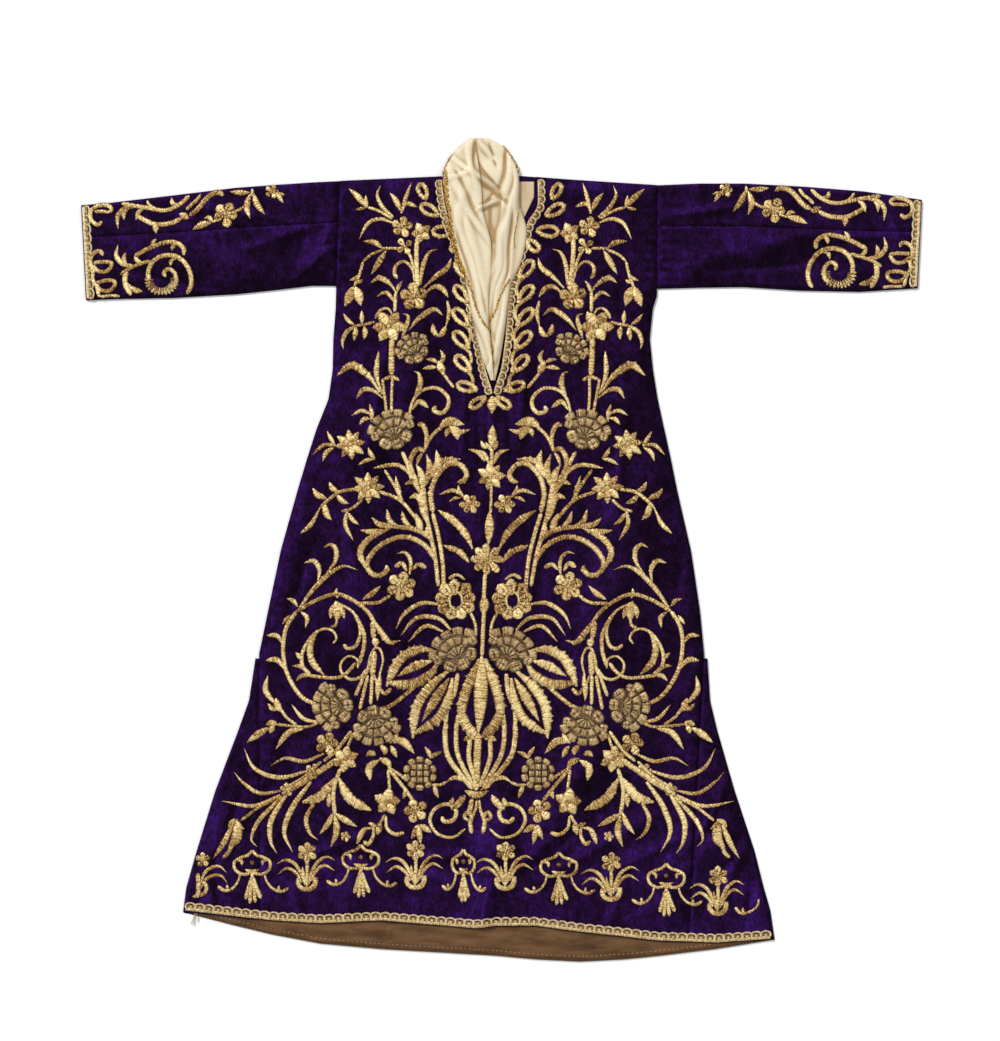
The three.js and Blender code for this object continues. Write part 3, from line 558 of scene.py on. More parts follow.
FOUNTAIN = (
    strip("stem", 8, (68, -62), (71, -20), (79, 22), (90, 62)),
    strip("stem right", 12, (90, 62), (95, 92), (87, 121), (68, 142), (48, 143), (35, 128), (39, 115),
          (50, 112)),
    strip("stem", 8, (77, -60), (83, -16), (92, 24), (101, 60)),
    strip("leaf", 17, (97, 42), (107, 78), (107, 118)),
    strip("comma", 15, (102, 66), (115, 90), (130, 86)),
    strip("comma", 15, (107, 86), (121, 114), (138, 109)),
    strip("leaf", 14, (107, 98), (111, 126), (120, 142)),
    strip("leaf", 14, (105, 104), (97, 134), (103, 159)),
    strip("leaf", 16, (101, 116), (84, 141), (87, 166)),
    strip("comma right", 15, (97, 124), (78, 148), (46, 151)),
    strip("stem", 10, (107, 163), (118, 168), (127, 156), (130, 142), (126, 129), (117, 112)),
    strip("leaf", 8, (108, 162), (115, 153), (119, 140)),
    strip("hook", 11, (106, 164), (104, 190), (111, 207), (120, 207)),
    strip("stem", 7, (107, 165), (101, 180), (90, 195), (78, 204)),
    strip("leaf", 18, (84, 203), (66, 213), (42, 208)),
    strip("leaf", 11, (68, 206), (50, 196), (32, 200)),
    strip("leaf", 18, (68, 202), (56, 197), (52, 183)),
    strip("leaf", 11, (62, 202), (70, 196), (72, 188)),
    strip("stem", 8, (124, 110), (133, 140), (144, 163)),
    strip("saw left", 10, (127, 122), (142, 138), (156, 142), (173, 140), (190, 136)),
    strip("leaf left", 13, (142, 82), (148, 103), (153, 123)),
    strip("stem", 6, (140, 81), (158, 112), (172, 133)),
    strip("stem", 7, (114, 48), (136, 75), (154, 88), (180, 97)),
    strip("stem", 7, (218, 101), (243, 97), (260, 86), (277, 70)),
    strip("comma", 9, (277, 70), (290, 44), (308, 27)),
    strip("leaf", 11, (246, 97), (257, 102), (263, 113)),
    strip("leaf", 12, (266, 85), (282, 92), (290, 103)),
    strip("leaf", 11, (250, 92), (241, 82), (229, 77)),
    strip("leaf", 13, (270, 78), (266, 60), (257, 50)),
    strip("stem", 6, (206, 84), (224, 69), (241, 64)),
    strip("blade", 9, (231, 66), (234, 42), (220, 16)),
    strip("leaf", 9, (230, 62), (222, 50), (211, 42)),
    strip("stem left", 12, (80, -18), (100, 8), (128, 22), (156, 19), (183, 2), (197, -22), (188, -40),
          (172, -42), (162, -33), (164, -25)),
    strip("saw left", 12, (83, 2), (93, 20), (108, 31), (131, 38), (160, 38)),
    strip("saw", 14, (158, 37), (192, 20), (208, -4), (196, -34)),
    strip("leaf", 10, (97, 20), (98, 29), (99, 40)),
    strip("leaf", 13, (107, 28), (112, 45), (118, 61)),
    strip("comma", 12, (119, 33), (136, 47), (141, 64)),
    strip("comma", 12, (141, 37), (161, 48), (166, 67)),
    strip("leaf", 12, (150, 39), (176, 42), (191, 54)),
    strip("leaf", 12, (166, 33), (188, 30), (209, 33)),
    strip("hook", 8, (33, -49), (46, -41), (60, -47)),
)
SIDE_SPRIGS = (
    strip("blade", 8, (125, -40), (124, -18), (134, -4), (148, -6)),
    strip("hook", 11, (121, -33), (111, -24), (98, -29)),
    strip("hook", 11, (130, -35), (138, -22), (150, -28)),
    strip("stem", 7, (156, -75), (176, -87), (206, -88)),
    strip("leaf", 11, (202, -82), (186, -72), (172, -59)),
)
GREAT_SCROLL = (
    strip("stem", 8, (176, -130), (192, -103), (218, -83), (245, -73), (276, -82), (310, -101)),
    strip("stem", 8, (310, -101), (326, -127), (331, -162), (324, -202), (300, -241), (270, -258)),
    strip("leaf", 8, (243, -80), (246, -70), (245, -63)),
    strip("blade", 12, (306, -95), (284, -64), (258, -38), (234, -26), (211, -33)),
    strip("comma", 12, (266, -44), (249, -20), (247, 0), (257, 10), (269, 4)),
    strip("comma", 12, (277, -56), (274, -32), (284, -17), (300, -21)),
    strip("leaf", 9, (309, -94), (317, -84), (328, -80)),
    strip("leaf", 9, (304, -102), (293, -112), (295, -129)),
    strip("leaf", 8, (322, -108), (328, -116), (334, -123)),
    strip("comma", 9, (330, -158), (342, -142), (359, -142)),
    strip("comma", 11, (327, -198), (341, -182), (359, -183)),
    strip("hook", 8, (246, -86), (217, -103), (204, -132), (210, -158), (224, -163), (231, -156)),
    strip("stem", 8, (214, -106), (198, -138), (198, -166), (206, -192)),
    strip("hook", 7, (206, -196), (208, -181), (222, -176), (234, -187), (233, -202), (219, -214),
          (202, -211), (190, -196)),
    strip("stem", 7, (210, -187), (226, -205), (246, -212), (288, -208)),
    strip("hook", 8, (249, -155), (243, -146), (250, -134), (266, -131), (284, -143), (298, -168),
          (298, -192), (284, -207)),
    strip("saw", 14, (276, -136), (286, -160), (282, -185), (262, -207)),
    strip("leaf", 9, (300, -182), (304, -176), (310, -170)),
    strip("leaf", 9, (288, -203), (300, -193), (315, -192)),
    strip("leaf", 9, (284, -208), (298, -208), (308, -217)),
    strip("leaf", 19, (246, -84), (243, -100), (243, -118)),
    strip("leaf", 11, (240, -90), (234, -103), (231, -114)),
    strip("leaf", 11, (250, -90), (253, -103), (254, -114)),
    strip("hook", 8, (243, -112), (245, -124), (254, -129)),
    strip("comma", 14, (194, -103), (174, -131), (156, -153), (137, -150)),
    strip("stem", 11, (184, -118), (181, -147)),
    strip("leaf", 14, (181, -145), (178, -153), (178, -161)),
    strip("hook", 7, (171, -212), (165, -184), (170, -165), (179, -163), (186, -178), (190, -200),
          (200, -215)),
    strip("stem", 11, (179, -168), (182, -208)),
    strip("hook", 9, (180, -205), (172, -224), (160, -238), (150, -229)),
    strip("leaf", 11, (168, -206), (172, -232), (172, -250)),
    strip("stem", 7, (182, -208), (183, -256)),
    strip("stem", 7, (189, -208), (201, -264)),
    strip("stem", 7, (197, -212), (209, -242)),
)
PALMETTE = (
    strip("blade", 9, (76, -90), (104, -88), (132, -106), (145, -131)),
    strip("blade", 9, (54, -132), (76, -113), (112, -113), (137, -142)),
    strip("blade", 8, (67, -135), (96, -126), (124, -152)),
    strip("stem", 6, (22, -104), (14, -122), (12, -143)),
    strip("saw left", 22, (80, -166), (105, -163), (130, -173), (147, -194), (158, -226)),
    strip("saw right", 22, (72, -186), (84, -206), (104, -220), (130, -225), (158, -219)),
    strip("leaf both", 20, (82, -183), (110, -192), (140, -209)),
    strip("stem", 8, (94, -210), (124, -238), (150, -258), (168, -264)),
    strip("saw left", 22, (56, -200), (82, -220), (103, -247), (112, -275), (112, -312)),
    strip("saw right", 21, (48, -212), (52, -246), (66, -276), (84, -292), (112, -306)),
    strip("leaf both", 21, (54, -212), (74, -244), (97, -284)),
    strip("saw left", 23, (5, -180), (17, -206), (28, -234), (34, -262), (33, -290)),
    strip("saw left", 23, (35, -258), (31, -280), (20, -298), (1, -312)),
    strip("stem", 9, (40, -204), (45, -238), (56, -262), (58, -290)),
    strip("stem", 9, (18, -296), (17, -320), (17, -348), (2, -392)),
    strip("stem", 9, (36, -270), (40, -300), (35, -342), (7, -394)),
    strip("stem", 10, (57, -286), (58, -310), (50, -346), (10, -396)),
    strip("saw", 10, (8, -314), (17, -310), (27, -316)),
    strip("comma", 9, (4, -398), (20, -383), (40, -377), (54, -385)),
    strip("stem", 6, (52, -384), (64, -389), (78, -389)),
    strip("leaf", 10, (74, -389), (71, -399), (66, -411)),
    strip("leaf", 9, (82, -346), (74, -339), (62, -334)),
    strip("leaf", 9, (81, -345), (84, -336), (91, -326)),
    strip("hook", 9, (2, -414), (4, -430), (12, -447), (22, -443), (17, -434), (10, -442), (12, -452),
          (9, -470)),
    strip("hook", 9, (20, -462), (40, -476), (66, -470), (79, -448), (70, -428), (50, -421), (36, -432),
          (40, -447), (54, -450), (60, -442)),
    strip("saw", 15, (44, -430), (32, -420), (22, -406)),
    strip("leaf", 10, (48, -424), (43, -416), (42, -410)),
)
FOOT_SPRIGS = (
    strip("stem", 6, (120, -381), (136, -369), (152, -360)),
    strip("stem", 7, (106, -418), (122, -396), (150, -362)),
    strip("leaf", 9, (122, -396), (122, -405), (125, -412)),
    strip("stem", 6, (151, -364), (147, -398)),
    strip("hook", 9, (152, -440), (150, -460), (136, -471), (121, -468)),
    strip("stem", 6, (154, -438), (160, -450), (166, -456)),
    strip("leaf", 13, (160, -452), (163, -462), (166, -472)),
    strip("leaf", 9, (166, -458), (174, -455), (181, -452)),
    strip("hook", 9, (172, -458), (172, -474), (180, -487), (188, -482)),
    strip("comma", 11, (172, -460), (188, -464), (199, -487)),
    strip("leaf", 12, (96, -455), (88, -460), (76, -468)),
    strip("leaf", 12, (98, -455), (96, -470), (93, -487)),
    strip("leaf", 11, (100, -455), (103, -467), (109, -479)),
    strip("leaf", 15, (150, -318), (128, -317), (108, -337)),
    strip("leaf", 12, (150, -320), (140, -310), (136, -304)),
    strip("leaf", 11, (148, -324), (142, -334), (137, -344)),
    strip("leaf", 13, (166, -345), (152, -352), (146, -362)),
    strip("saw", 15, (166, -348), (182, -360), (180, -381)),
    strip("leaf", 12, (158, -340), (157, -332), (166, -322)),
    strip("leaf", 12, (172, -340), (180, -336), (188, -342)),
    strip("stem", 6, (210, -302), (222, -334)),
    strip("stem", 7, (214, -300), (236, -330), (258, -350)),
    strip("stem", 11, (232, -345), (262, -365), (292, -385), (322, -402)),
    strip("stem", 6, (262, -350), (290, -376), (322, -395)),
    strip("blade", 8, (258, -337), (290, -350), (322, -345), (347, -358)),
    strip("blade", 9, (284, -366), (330, -377), (372, -362), (391, -328)),
    strip("blade", 8, (328, -399), (362, -403), (390, -386), (406, -368)),
    strip("blade", 8, (328, -406), (372, -424), (424, -416)),
    strip("stem", 6, (328, -409), (362, -426), (392, -448)),
    strip("blade", 11, (278, -384), (306, -424), (320, -466), (305, -501)),
    strip("blade", 11, (318, -405), (342, -448), (342, -482), (331, -503)),
    strip("blade", 9, (325, -408), (362, -448), (374, -478), (364, -492)),
    strip("blade", 9, (270, -416), (284, -444), (278, -468), (263, -481)),
    strip("stem", 8, (230, -362), (240, -398), (237, -438)),
    strip("saw", 20, (232, -378), (212, -412), (177, -431)),
    strip("saw", 20, (238, -378), (262, -408), (291, -418)),
    strip("leaf", 11, (246, -402), (247, -412), (248, -426)),
    strip("leaf", 12, (237, -436), (218, -448), (199, -458)),
    strip("leaf", 13, (237, -438), (233, -466), (242, -492)),
    strip("leaf", 11, (239, -434), (248, -454), (261, -471)),
    strip("leaf", 12, (404, -446), (394, -458), (386, -462)),
    strip("leaf", 11, (396, -446), (408, -452), (413, -460)),
    strip("leaf", 19, (400, -450), (398, -476), (412, -496)),
    strip("hook", 9, (404, -470), (408, -496), (420, -510)),
    strip("leaf", 11, (404, -452), (420, -486), (436, -511)),
    strip("stem", 6, (266, -285), (290, -293), (338, -289)),
    strip("blade", 8, (270, -285), (294, -279), (314, -256)),
    strip("stem", 6, (304, -290), (322, -277), (334, -260)),
    strip("leaf", 14, (333, -268), (338, -256), (341, -245)),
    strip("leaf", 9, (338, -266), (347, -262), (354, -254)),
    strip("blade", 11, (344, -252), (358, -232), (355, -208)),
    strip("leaf", 12, (292, -296), (318, -303), (338, -330)),
    strip("leaf", 13, (336, -289), (347, -287), (356, -290)),
    strip("leaf", 12, (342, -290), (346, -297), (348, -304)),
    strip("leaf", 13, (350, -294), (368, -305), (386, -319)),
)


FLOWERS = (
    Flower("rose", 155, 536, 18, 5, 10),
    Flower("star", 123, 526, 18, 5, 40),
    Flower("rose", 150, 503, 15, 4, 35),
    Flower("rose", 132, 420, 25, 5, 20),
    Flower("star", 172, 370, 28, 6, 0),
    Flower("star", 230, 175, 26, 8, 10),
    Flower("rose", 29, 76, 17, 6, 0),
    Flower("star", 198, 103, 27, 8, 5),
    Flower("rose", 138, -60, 25, 6, 20),
    Flower("pink", 47, -84, 35, 9, 12),
    Flower("rose", 253, -320, 20, 5, 0),
    Flower("star", 222, -346, 23, 6, 20),
    Flower("star", 150, -417, 23, 5, 10),
    Flower("rose", 103, -432, 20, 5, 35),
    Flower("rose", 275, -366, 13, 5, 0),
    Flower("rose", 318, -397, 12, 5, 20),
    Flower("rose", 218, -474, 9, 5, 0),
    Flower("berry", 130, 332, 29, 0, -30),
    Flower("berry", 160, 197, 38, 0, -20),
    Flower("berry", 45, -168, 41, 0, -30),
    Flower("berry", 174, -288, 38, 0, 170),
    Flower("berry", 243, -259, 38, 0, -96),
    Flower("cone", 98, -370, 27, 0, 0),
)
# Strips on the middle line itself
MIDDLE_STRIPS = (
    strip("leaf", 17, (5, 171), (5, 188), (5, 207)),
    strip("leaf", 8, (6, 164), (-1, 172), (-6, 179)),
    strip("leaf", 8, (4, 164), (12, 172), (15, 179)),
    strip("stem", 7, (5, 136), (5, 168)),
    strip("blade", 8, (2, 142), (-8, 160), (-23, 166)),
    strip("blade", 8, (9, 144), (17, 160), (33, 167)),
    strip("stem", 6, (6, 108), (6, 60)),
    strip("leaf", 17, (4, 64), (5, 44), (4, 8)),
    strip("stem", 8, (0, -38), (-1, -84)),
    strip("leaf", 18, (0, -76), (0, -90), (0, -108)),
    strip("stem", 8, (0, -100), (-1, -176)),
    strip("leaf", 25, (-1, -172), (-1, -236), (-3, -306)),
    strip("stem", 14, (-3, -304), (-4, -350), (-4, -398)),
    strip("leaf", 14, (-23, -399), (-3, -406), (17, -399)),
    strip("stem", 10, (-10, -412), (-15, -440)),
)
MIDDLE_FLOWERS = (
    Flower("star", 5, 122, 25, 7, 0),
    Flower("rose", 2, -15, 28, 8, 0),
)

# Border above the hem: each motif's place from the middle line, its rise above the front hem and how far a
# fold narrows it
Place = namedtuple("Place", "x rise narrow")
POTS = (
    Place(-280, 68, 1),
    Place(-100, 72, 1),
    Place(49, 75, 1),
    Place(224, 72, 1),
    Place(401, 61, 0.94),
)
KNOTS = (
    Place(-370, 79, 1),
    Place(-190, 94, 1),
    Place(-20, 96, 0.62),
    Place(138, 94, 1),
    Place(316, 95, 1),
)
POT_MOTIF = (
    strip("blade", 7.5, (-5, 2), (-10, 16), (-20, 31), (-35, 37), (-50, 30)),
    strip("blade", 7.5, (6, 4), (9, 18), (19, 34), (34, 42), (47, 36)),
    strip("blade", 7, (-8, 0), (-17, 15), (-32, 23), (-48, 13)),
    strip("blade", 7, (8, 2), (16, 19), (30, 28), (47, 19)),
    strip("leaf", 8, (-2, -6), (-5, 10), (-7, 26)),
    strip("stem", 7, (0, -8), (1, 14), (1, 36)),
    strip("leaf", 7, (4, -4), (7, 12), (9, 24)),
    strip("loop", 9, (-13, 6), (-14, -2), (-9, -9), (1, -12), (11, -9), (15, -1), (15, 8)),
    strip("comma", 7, (0, -10), (10, -6), (14, 2), (11, 10)),
)
POT_FLOWER = Flower("rose", 1, 50, 17, 6, 30)
KNOT_MOTIF = (
    strip("loop both", 7, (-1, -3), (-16, -5), (-28, 3), (-29, 16), (-18, 23), (-8, 26), (0, 34)),
    strip("loop both", 7, (1, -3), (16, -5), (28, 3), (29, 16), (18, 23), (8, 26), (0, 34)),
    strip("comma", 7, (-28, 18), (-18, 17), (-17, 9)),
    strip("comma", 7, (28, 18), (18, 17), (17, 9)),
    strip("leaf", 9, (-12, 3), (0, -1), (12, 3)),
    strip("stem", 7, (0, -2), (0, -14)),
    strip("hook", 9, (-2, -10), (-6, -28), (-11, -46)),
    strip("hook", 8, (-1, -12), (-2, -32), (-4, -53)),
    strip("hook", 8, (1, -12), (3, -32), (5, -52)),
    strip("hook", 9, (2, -10), (7, -27), (14, -45)),
    strip("hook", 7, (-20, -4), (-23, -16), (-32, -28), (-45, -32), (-57, -25)),
    strip("hook", 7, (20, -4), (24, -17), (34, -29), (48, -34), (60, -28)),
    strip("leaf", 6, (-42, -30), (-41, -26), (-42, -22)),
    strip("leaf", 6, (45, -32), (44, -28), (45, -24)),
)
# At its left end the border runs out in half a pot, and at its right end in a tendril
BORDER_ENDS = (
    strip("blade", 7, (-455, -552), (-450, -536), (-439, -526), (-425, -524), (-413, -534)),
    strip("blade", 7, (-455, -560), (-447, -546), (-435, -539), (-421, -540), (-411, -552)),
    strip("stem", 9, (-461, -535), (-459, -556), (-460, -576)),
    strip("loop", 8, (-456, -572), (-448, -568), (-446, -557), (-452, -550)),
    strip("leaf", 8, (-458, -570), (-464, -574), (-469, -574)),
    strip("hook", 7, (470, -578), (468, -590), (455, -600), (441, -602), (431, -592)),
    strip("leaf", 6, (446, -602), (444, -596), (445, -592)),
)
BORDER_END_FLOWER = Flower("rose", -453, -513, 13, 5, 20)

# Right sleeve, as X and Y on the dress; the left one takes them by their shares of its length and height
SLEEVE_FLOWERS = (
    Flower("rose", 451, 564, 21, 5, 62),
    Flower("rose", 372, 597, 12, 5, 0),
)
SLEEVE_MOTIFS = (
    strip("leaf", 9, (366, 595), (360, 588), (353, 577)),
    strip("leaf", 7, (366, 592), (358, 592), (350, 590)),
    strip("stem", 6, (405, 604), (407, 592)),
    strip("leaf", 12, (405, 597), (397, 578), (384, 561)),
    strip("leaf", 12, (409, 596), (415, 575), (409, 556)),
    strip("leaf", 11, (410, 598), (426, 598), (444, 600)),
    strip("stem", 6, (417, 577), (428, 570), (438, 567)),
    strip("stem", 5, (460, 556), (474, 552)),
    strip("leaf", 9, (472, 552), (479, 560), (487, 559)),
    strip("leaf", 13, (474, 552), (490, 549), (507, 541)),
    strip("stem", 10, (454, 595), (463, 600), (476, 597), (488, 587), (500, 573), (513, 565)),
    strip("stem", 7, (493, 601), (500, 590), (510, 582), (518, 574)),
    strip("leaf", 14, (513, 561), (521, 564), (530, 569)),
    strip("stem", 9, (526, 561), (545, 553), (570, 552), (586, 558), (602, 567)),
    strip("leaf", 12, (571, 555), (570, 546), (569, 537)),
    strip("blade", 9, (592, 579), (600, 572), (604, 560)),
    strip("stem", 8, (513, 599), (526, 586), (543, 577), (560, 575), (580, 579), (600, 583), (628, 590)),
    strip("comma", 9, (530, 584), (541, 586), (543, 595)),
    strip("stem", 6, (569, 577), (580, 584), (585, 593)),
    strip("blade", 10, (605, 583), (624, 578), (635, 565), (634, 545)),
    strip("leaf", 9, (616, 580), (624, 572), (624, 560)),
    strip("stem", 8, (650, 571), (645, 578), (654, 586), (668, 583), (680, 573), (680, 559), (669, 551),
          (661, 557)),
    strip("stem", 7, (648, 572), (660, 573), (674, 572)),
    strip("stem", 9, (521, 499), (522, 511), (533, 520), (548, 522), (565, 518), (585, 510), (606, 499)),
    strip("comma", 9, (590, 487), (600, 491), (606, 500)),
    strip("leaf", 9, (534, 520), (540, 514), (541, 507)),
    strip("leaf", 8, (577, 514), (573, 523), (568, 528)),
    strip("stem", 9, (515, 435), (508, 450), (510, 470), (520, 487), (533, 497), (548, 500), (563, 497),
          (576, 487), (582, 472), (581, 458)),
    strip("comma", 8, (533, 494), (542, 491), (544, 482)),
    strip("stem", 8, (552, 464), (555, 471), (548, 477), (539, 473), (534, 462), (536, 450), (545, 443)),
    strip("stem", 7, (578, 491), (596, 486), (615, 479), (630, 470)),
    strip("stem", 10, (620, 477), (622, 456), (612, 435)),
    strip("comma", 11, (618, 455), (607, 444), (592, 440)),
    strip("blade", 10, (606, 483), (625, 487), (637, 501), (634, 519)),
    strip("leaf", 9, (620, 486), (624, 496), (621, 506)),
    strip("stem", 8, (660, 502), (664, 509), (673, 508), (681, 499), (681, 487), (674, 478)),
    strip("loop", 8, (676, 491), (655, 492), (645, 489), (649, 480), (657, 476), (668, 478), (677, 486)),
    strip("stem", 7, (675, 482), (678, 467), (671, 453), (667, 437)),
    strip("loop", 8, (671, 459), (655, 462), (641, 460), (640, 452), (650, 445), (665, 448), (671, 456)),
    strip("stem", 6, (631, 434), (645, 437), (666, 436)),
)


# A shell on the sleeve: short petals fanned about a point, and a plain inner rim
SHELL = {"x": 559, "y": 459, "inner": 13, "outer": 27, "from": 172, "to": 362, "petals": 15, "width": 5.6}


def look(table, key, at, column):
    """Value of a table's column at places along its key, straight between rows."""
    return np.interp(at, [getattr(row, key) for row in table], [getattr(row, column) for row in table])


def axis_x(y):
    """X of the middle line of the front."""
    return AXIS_X + AXIS_LEAN * y


def folded(folds, x, y):
    """Height that a table of folds adds at some places."""
    total = np.zeros(np.shape(x))
    for fold in folds:
        turn = math.radians(fold.turn)
        along = (x - fold.x) * math.cos(turn) + (y - fold.y) * math.sin(turn)
        aside = (y - fold.y) * math.cos(turn) - (x - fold.x) * math.sin(turn)
        total = total + fold.height * np.exp(-((aside / fold.spread) ** 2) - (along / fold.reach) ** 4)
    return total


def sleeve_share(sleeve, x, y):
    """How far along a sleeve some places are, 0 at the armhole and 1 at the cuff."""
    armhole = look(PANEL, "y", y, sleeve.side)
    low, high = sleeve.stations[-1].bottom, sleeve.stations[-1].top
    rise = np.clip((y - low) / (high - low), 0, 1)
    cuff = sleeve.cuff_bottom + (sleeve.cuff_top - sleeve.cuff_bottom) * rise
    return np.clip((x - armhole) / (cuff - armhole), 0, 1)


def sleeve_x(sleeve, along, y):
    """X of places on a sleeve from their share of its length and their Y."""
    top = look(sleeve.stations, "along", along, "top")
    bottom = look(sleeve.stations, "along", along, "bottom")
    rise = (y - bottom) / (top - bottom)
    armhole = look(PANEL, "y", y, sleeve.side) + sleeve.sign * SEAM_GAP
    cuff = sleeve.cuff_bottom + (sleeve.cuff_top - sleeve.cuff_bottom) * rise
    return armhole + (cuff - armhole) * along


def seam_line(away, along):
    """Trough of a seam and the uneven puckers that run out from it."""
    wave = np.sin(2 * math.pi * along / PUCKER["pitch"] + 2.2 * np.sin(along / 41.0))
    uneven = 0.55 + 0.45 * np.sin(along / 67.0 + 1.3)
    puckers = PUCKER["height"] * wave * uneven * np.exp(-away / PUCKER["reach"])
    return puckers * np.clip(away / 3, 0, 1) - 0.8 * np.exp(-((away / 3.0) ** 2))


def ground(x, y):
    """Top of the upper layer of velvet, where the embroidery lies."""
    x, y = np.asarray(x, float), np.asarray(y, float)
    left, right = look(PANEL, "y", y, "left"), look(PANEL, "y", y, "right")
    beside = np.minimum(np.abs(x - left), np.abs(x - right))
    body = (x > left) & (x < right)
    at_side = (y > GORE_HEAD) & (y < SIDE_SEAM_TOP)
    shoulder = look(SHOULDER, "x", x, "y") - y
    inset = np.where(at_side, beside, EDGE_ROLL)
    inset = np.where(body, np.minimum(inset, shoulder), inset)
    spread = np.clip(inset / EDGE_ROLL, 0, 1)
    drop = (TOP_Z - SEWN_Z) * (1 - spread) ** 1.5
    lumps = 0.35 * np.sin(x / 31 + 1.1 * np.sin(y / 47)) * np.sin(y / 39 + 0.8 * np.sin(x / 53))
    height = TOP_Z - drop + (folded(FOLDS, x, y) + folded(CREASES, x, y) + lumps) * spread
    seams = np.where(at_side, 0.0, seam_line(beside, y))
    for sleeve in SLEEVES:
        on_sleeve = x > right if sleeve.sign > 0 else x < left
        share = sleeve_share(sleeve, x, y)
        away = np.abs(y - look(sleeve.stations, "along", share, "seam"))
        seams = seams + np.where(on_sleeve & (y > SLEEVE_FOOT), 0.5 * seam_line(away, x), 0.0)
    return height + seams


def object_of(mesh, name, material):
    """Object of a bmesh built in millimetres, set in the scene in metres."""
    data = bpy.data.meshes.new(name)
    mesh.to_mesh(data)
    mesh.free()
    data.transform(Matrix.Scale(MM, 4))
    data.materials.append(material)
    data.polygons.foreach_set("use_smooth", [True] * len(data.polygons))
    made = bpy.data.objects.new(name, data)
    bpy.context.scene.collection.objects.link(made)
    return made


def grid_sheet(columns, rows, place):
    """A sheet as a grid whose points, shares u and v of its width and length, place() puts in the frame."""
    mesh = bmesh.new()
    bmesh.ops.create_grid(mesh, x_segments=columns, y_segments=rows, size=0.5)
    shares = np.array([vert.co[:2] for vert in mesh.verts]) + 0.5
    for vert, spot in zip(mesh.verts, place(shares[:, 0], shares[:, 1])):
        vert.co = spot
    return mesh


def add_wall(piece, thickness=WALL):
    """Gives a sheet its thickness about its middle surface."""
    wall = piece.modifiers.new("Wall", "SOLIDIFY")
    wall.thickness = thickness * MM
    wall.offset = 0
    return wall


def declare(piece, nodes, flat=None, rests_on=(), with_pieces=()):
    """Rides a piece on the dress and hides its plain solids; the cut of a sheet that it takes is not used."""
    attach(piece, BODY)
    if nodes:
        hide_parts(*nodes)
    if flat:
        rests_on, with_pieces = list(rests_on), list(with_pieces)
    return piece


# Materials


def rgb(code):
    """Linear colour of an sRGB hex code."""
    parts = [int(code[k : k + 2], 16) / 255 for k in (1, 3, 5)]
    return tuple(p / 12.92 if p <= 0.04045 else ((p + 0.055) / 1.055) ** 2.4 for p in parts) + (1,)


class Finish:
    """A material's nodes, added one by one."""

    def __init__(self, name):
        self.material = bpy.data.materials.new(name)
        self.material.use_nodes = True
        self.nodes = self.material.node_tree.nodes
        self.links = self.material.node_tree.links
        self.surface = next(node for node in self.nodes if node.type == "BSDF_PRINCIPLED")

    def add(self, kind, settings=None, **inputs):
        """Adds a node with its settings; each input is a value or the output of another node."""
        node = self.nodes.new("ShaderNode" + kind)
        for key, value in (settings or {}).items():
            setattr(node, key, value)
        self.put(node, **inputs)
        return node

    def put(self, node, **inputs):
        """Sets or links inputs of a node, by name with spaces as underscores or by number as in_0."""
        for key, value in inputs.items():
            name = int(key[3:]) if key.startswith("in_") else key.replace("_", " ")
            socket = node.inputs[name]
            if isinstance(value, bpy.types.NodeSocket):
                self.links.new(value, socket)
            else:
                socket.default_value = value

    def ramp(self, factor, *stops):
        """A colour ramp through stops of place and hex colour."""
        node = self.add("ValToRGB", Fac=factor)
        elements = node.color_ramp.elements
        for element, (place, code) in zip(elements, (stops[0], stops[-1])):
            element.position = place
            element.color = rgb(code)
        for place, code in stops[1:-1]:
            elements.new(place).color = rgb(code)
        return node.outputs["Color"]

    def noise(self, scale_mm, stretch=(1, 1, 1), detail=4.0, where=None, roughness=0.55):
        """Noise with features of about scale_mm, drawn out by stretch."""
        source = where or self.add("TexCoord").outputs["Object"]
        mapped = self.add("Mapping", Vector=source, Scale=tuple(1 / s for s in stretch))
        place, scale = mapped.outputs["Vector"], 1000 / scale_mm
        node = self.add("TexNoise", Vector=place, Scale=scale, Detail=detail, Roughness=roughness)
        return node.outputs["Fac"]

    def mix(self, factor, first, second, blend="MIX"):
        """Two colours mixed."""
        settings = {"data_type": "RGBA", "blend_type": blend}
        node = self.add("Mix", settings, in_0=factor, in_6=first, in_7=second)
        return node.outputs[2]

    def math(self, operation, first, second=0.0, third=0.0):
        """One sum of the node kind named."""
        node = self.add("Math", {"operation": operation}, in_0=first, in_1=second, in_2=third)
        return node.outputs[0]

    def bump(self, height, depth_mm, strength=1.0, under=None):
        """Normals bumped by a height."""
        node = self.add("Bump", Height=height, Strength=strength, Distance=depth_mm * MM)
        if under:
            self.put(node, Normal=under)
        return node.outputs["Normal"]

    def finish(self, **inputs):
        """Sets the surface and returns the material."""
        self.put(self.surface, **inputs)
        return self.material


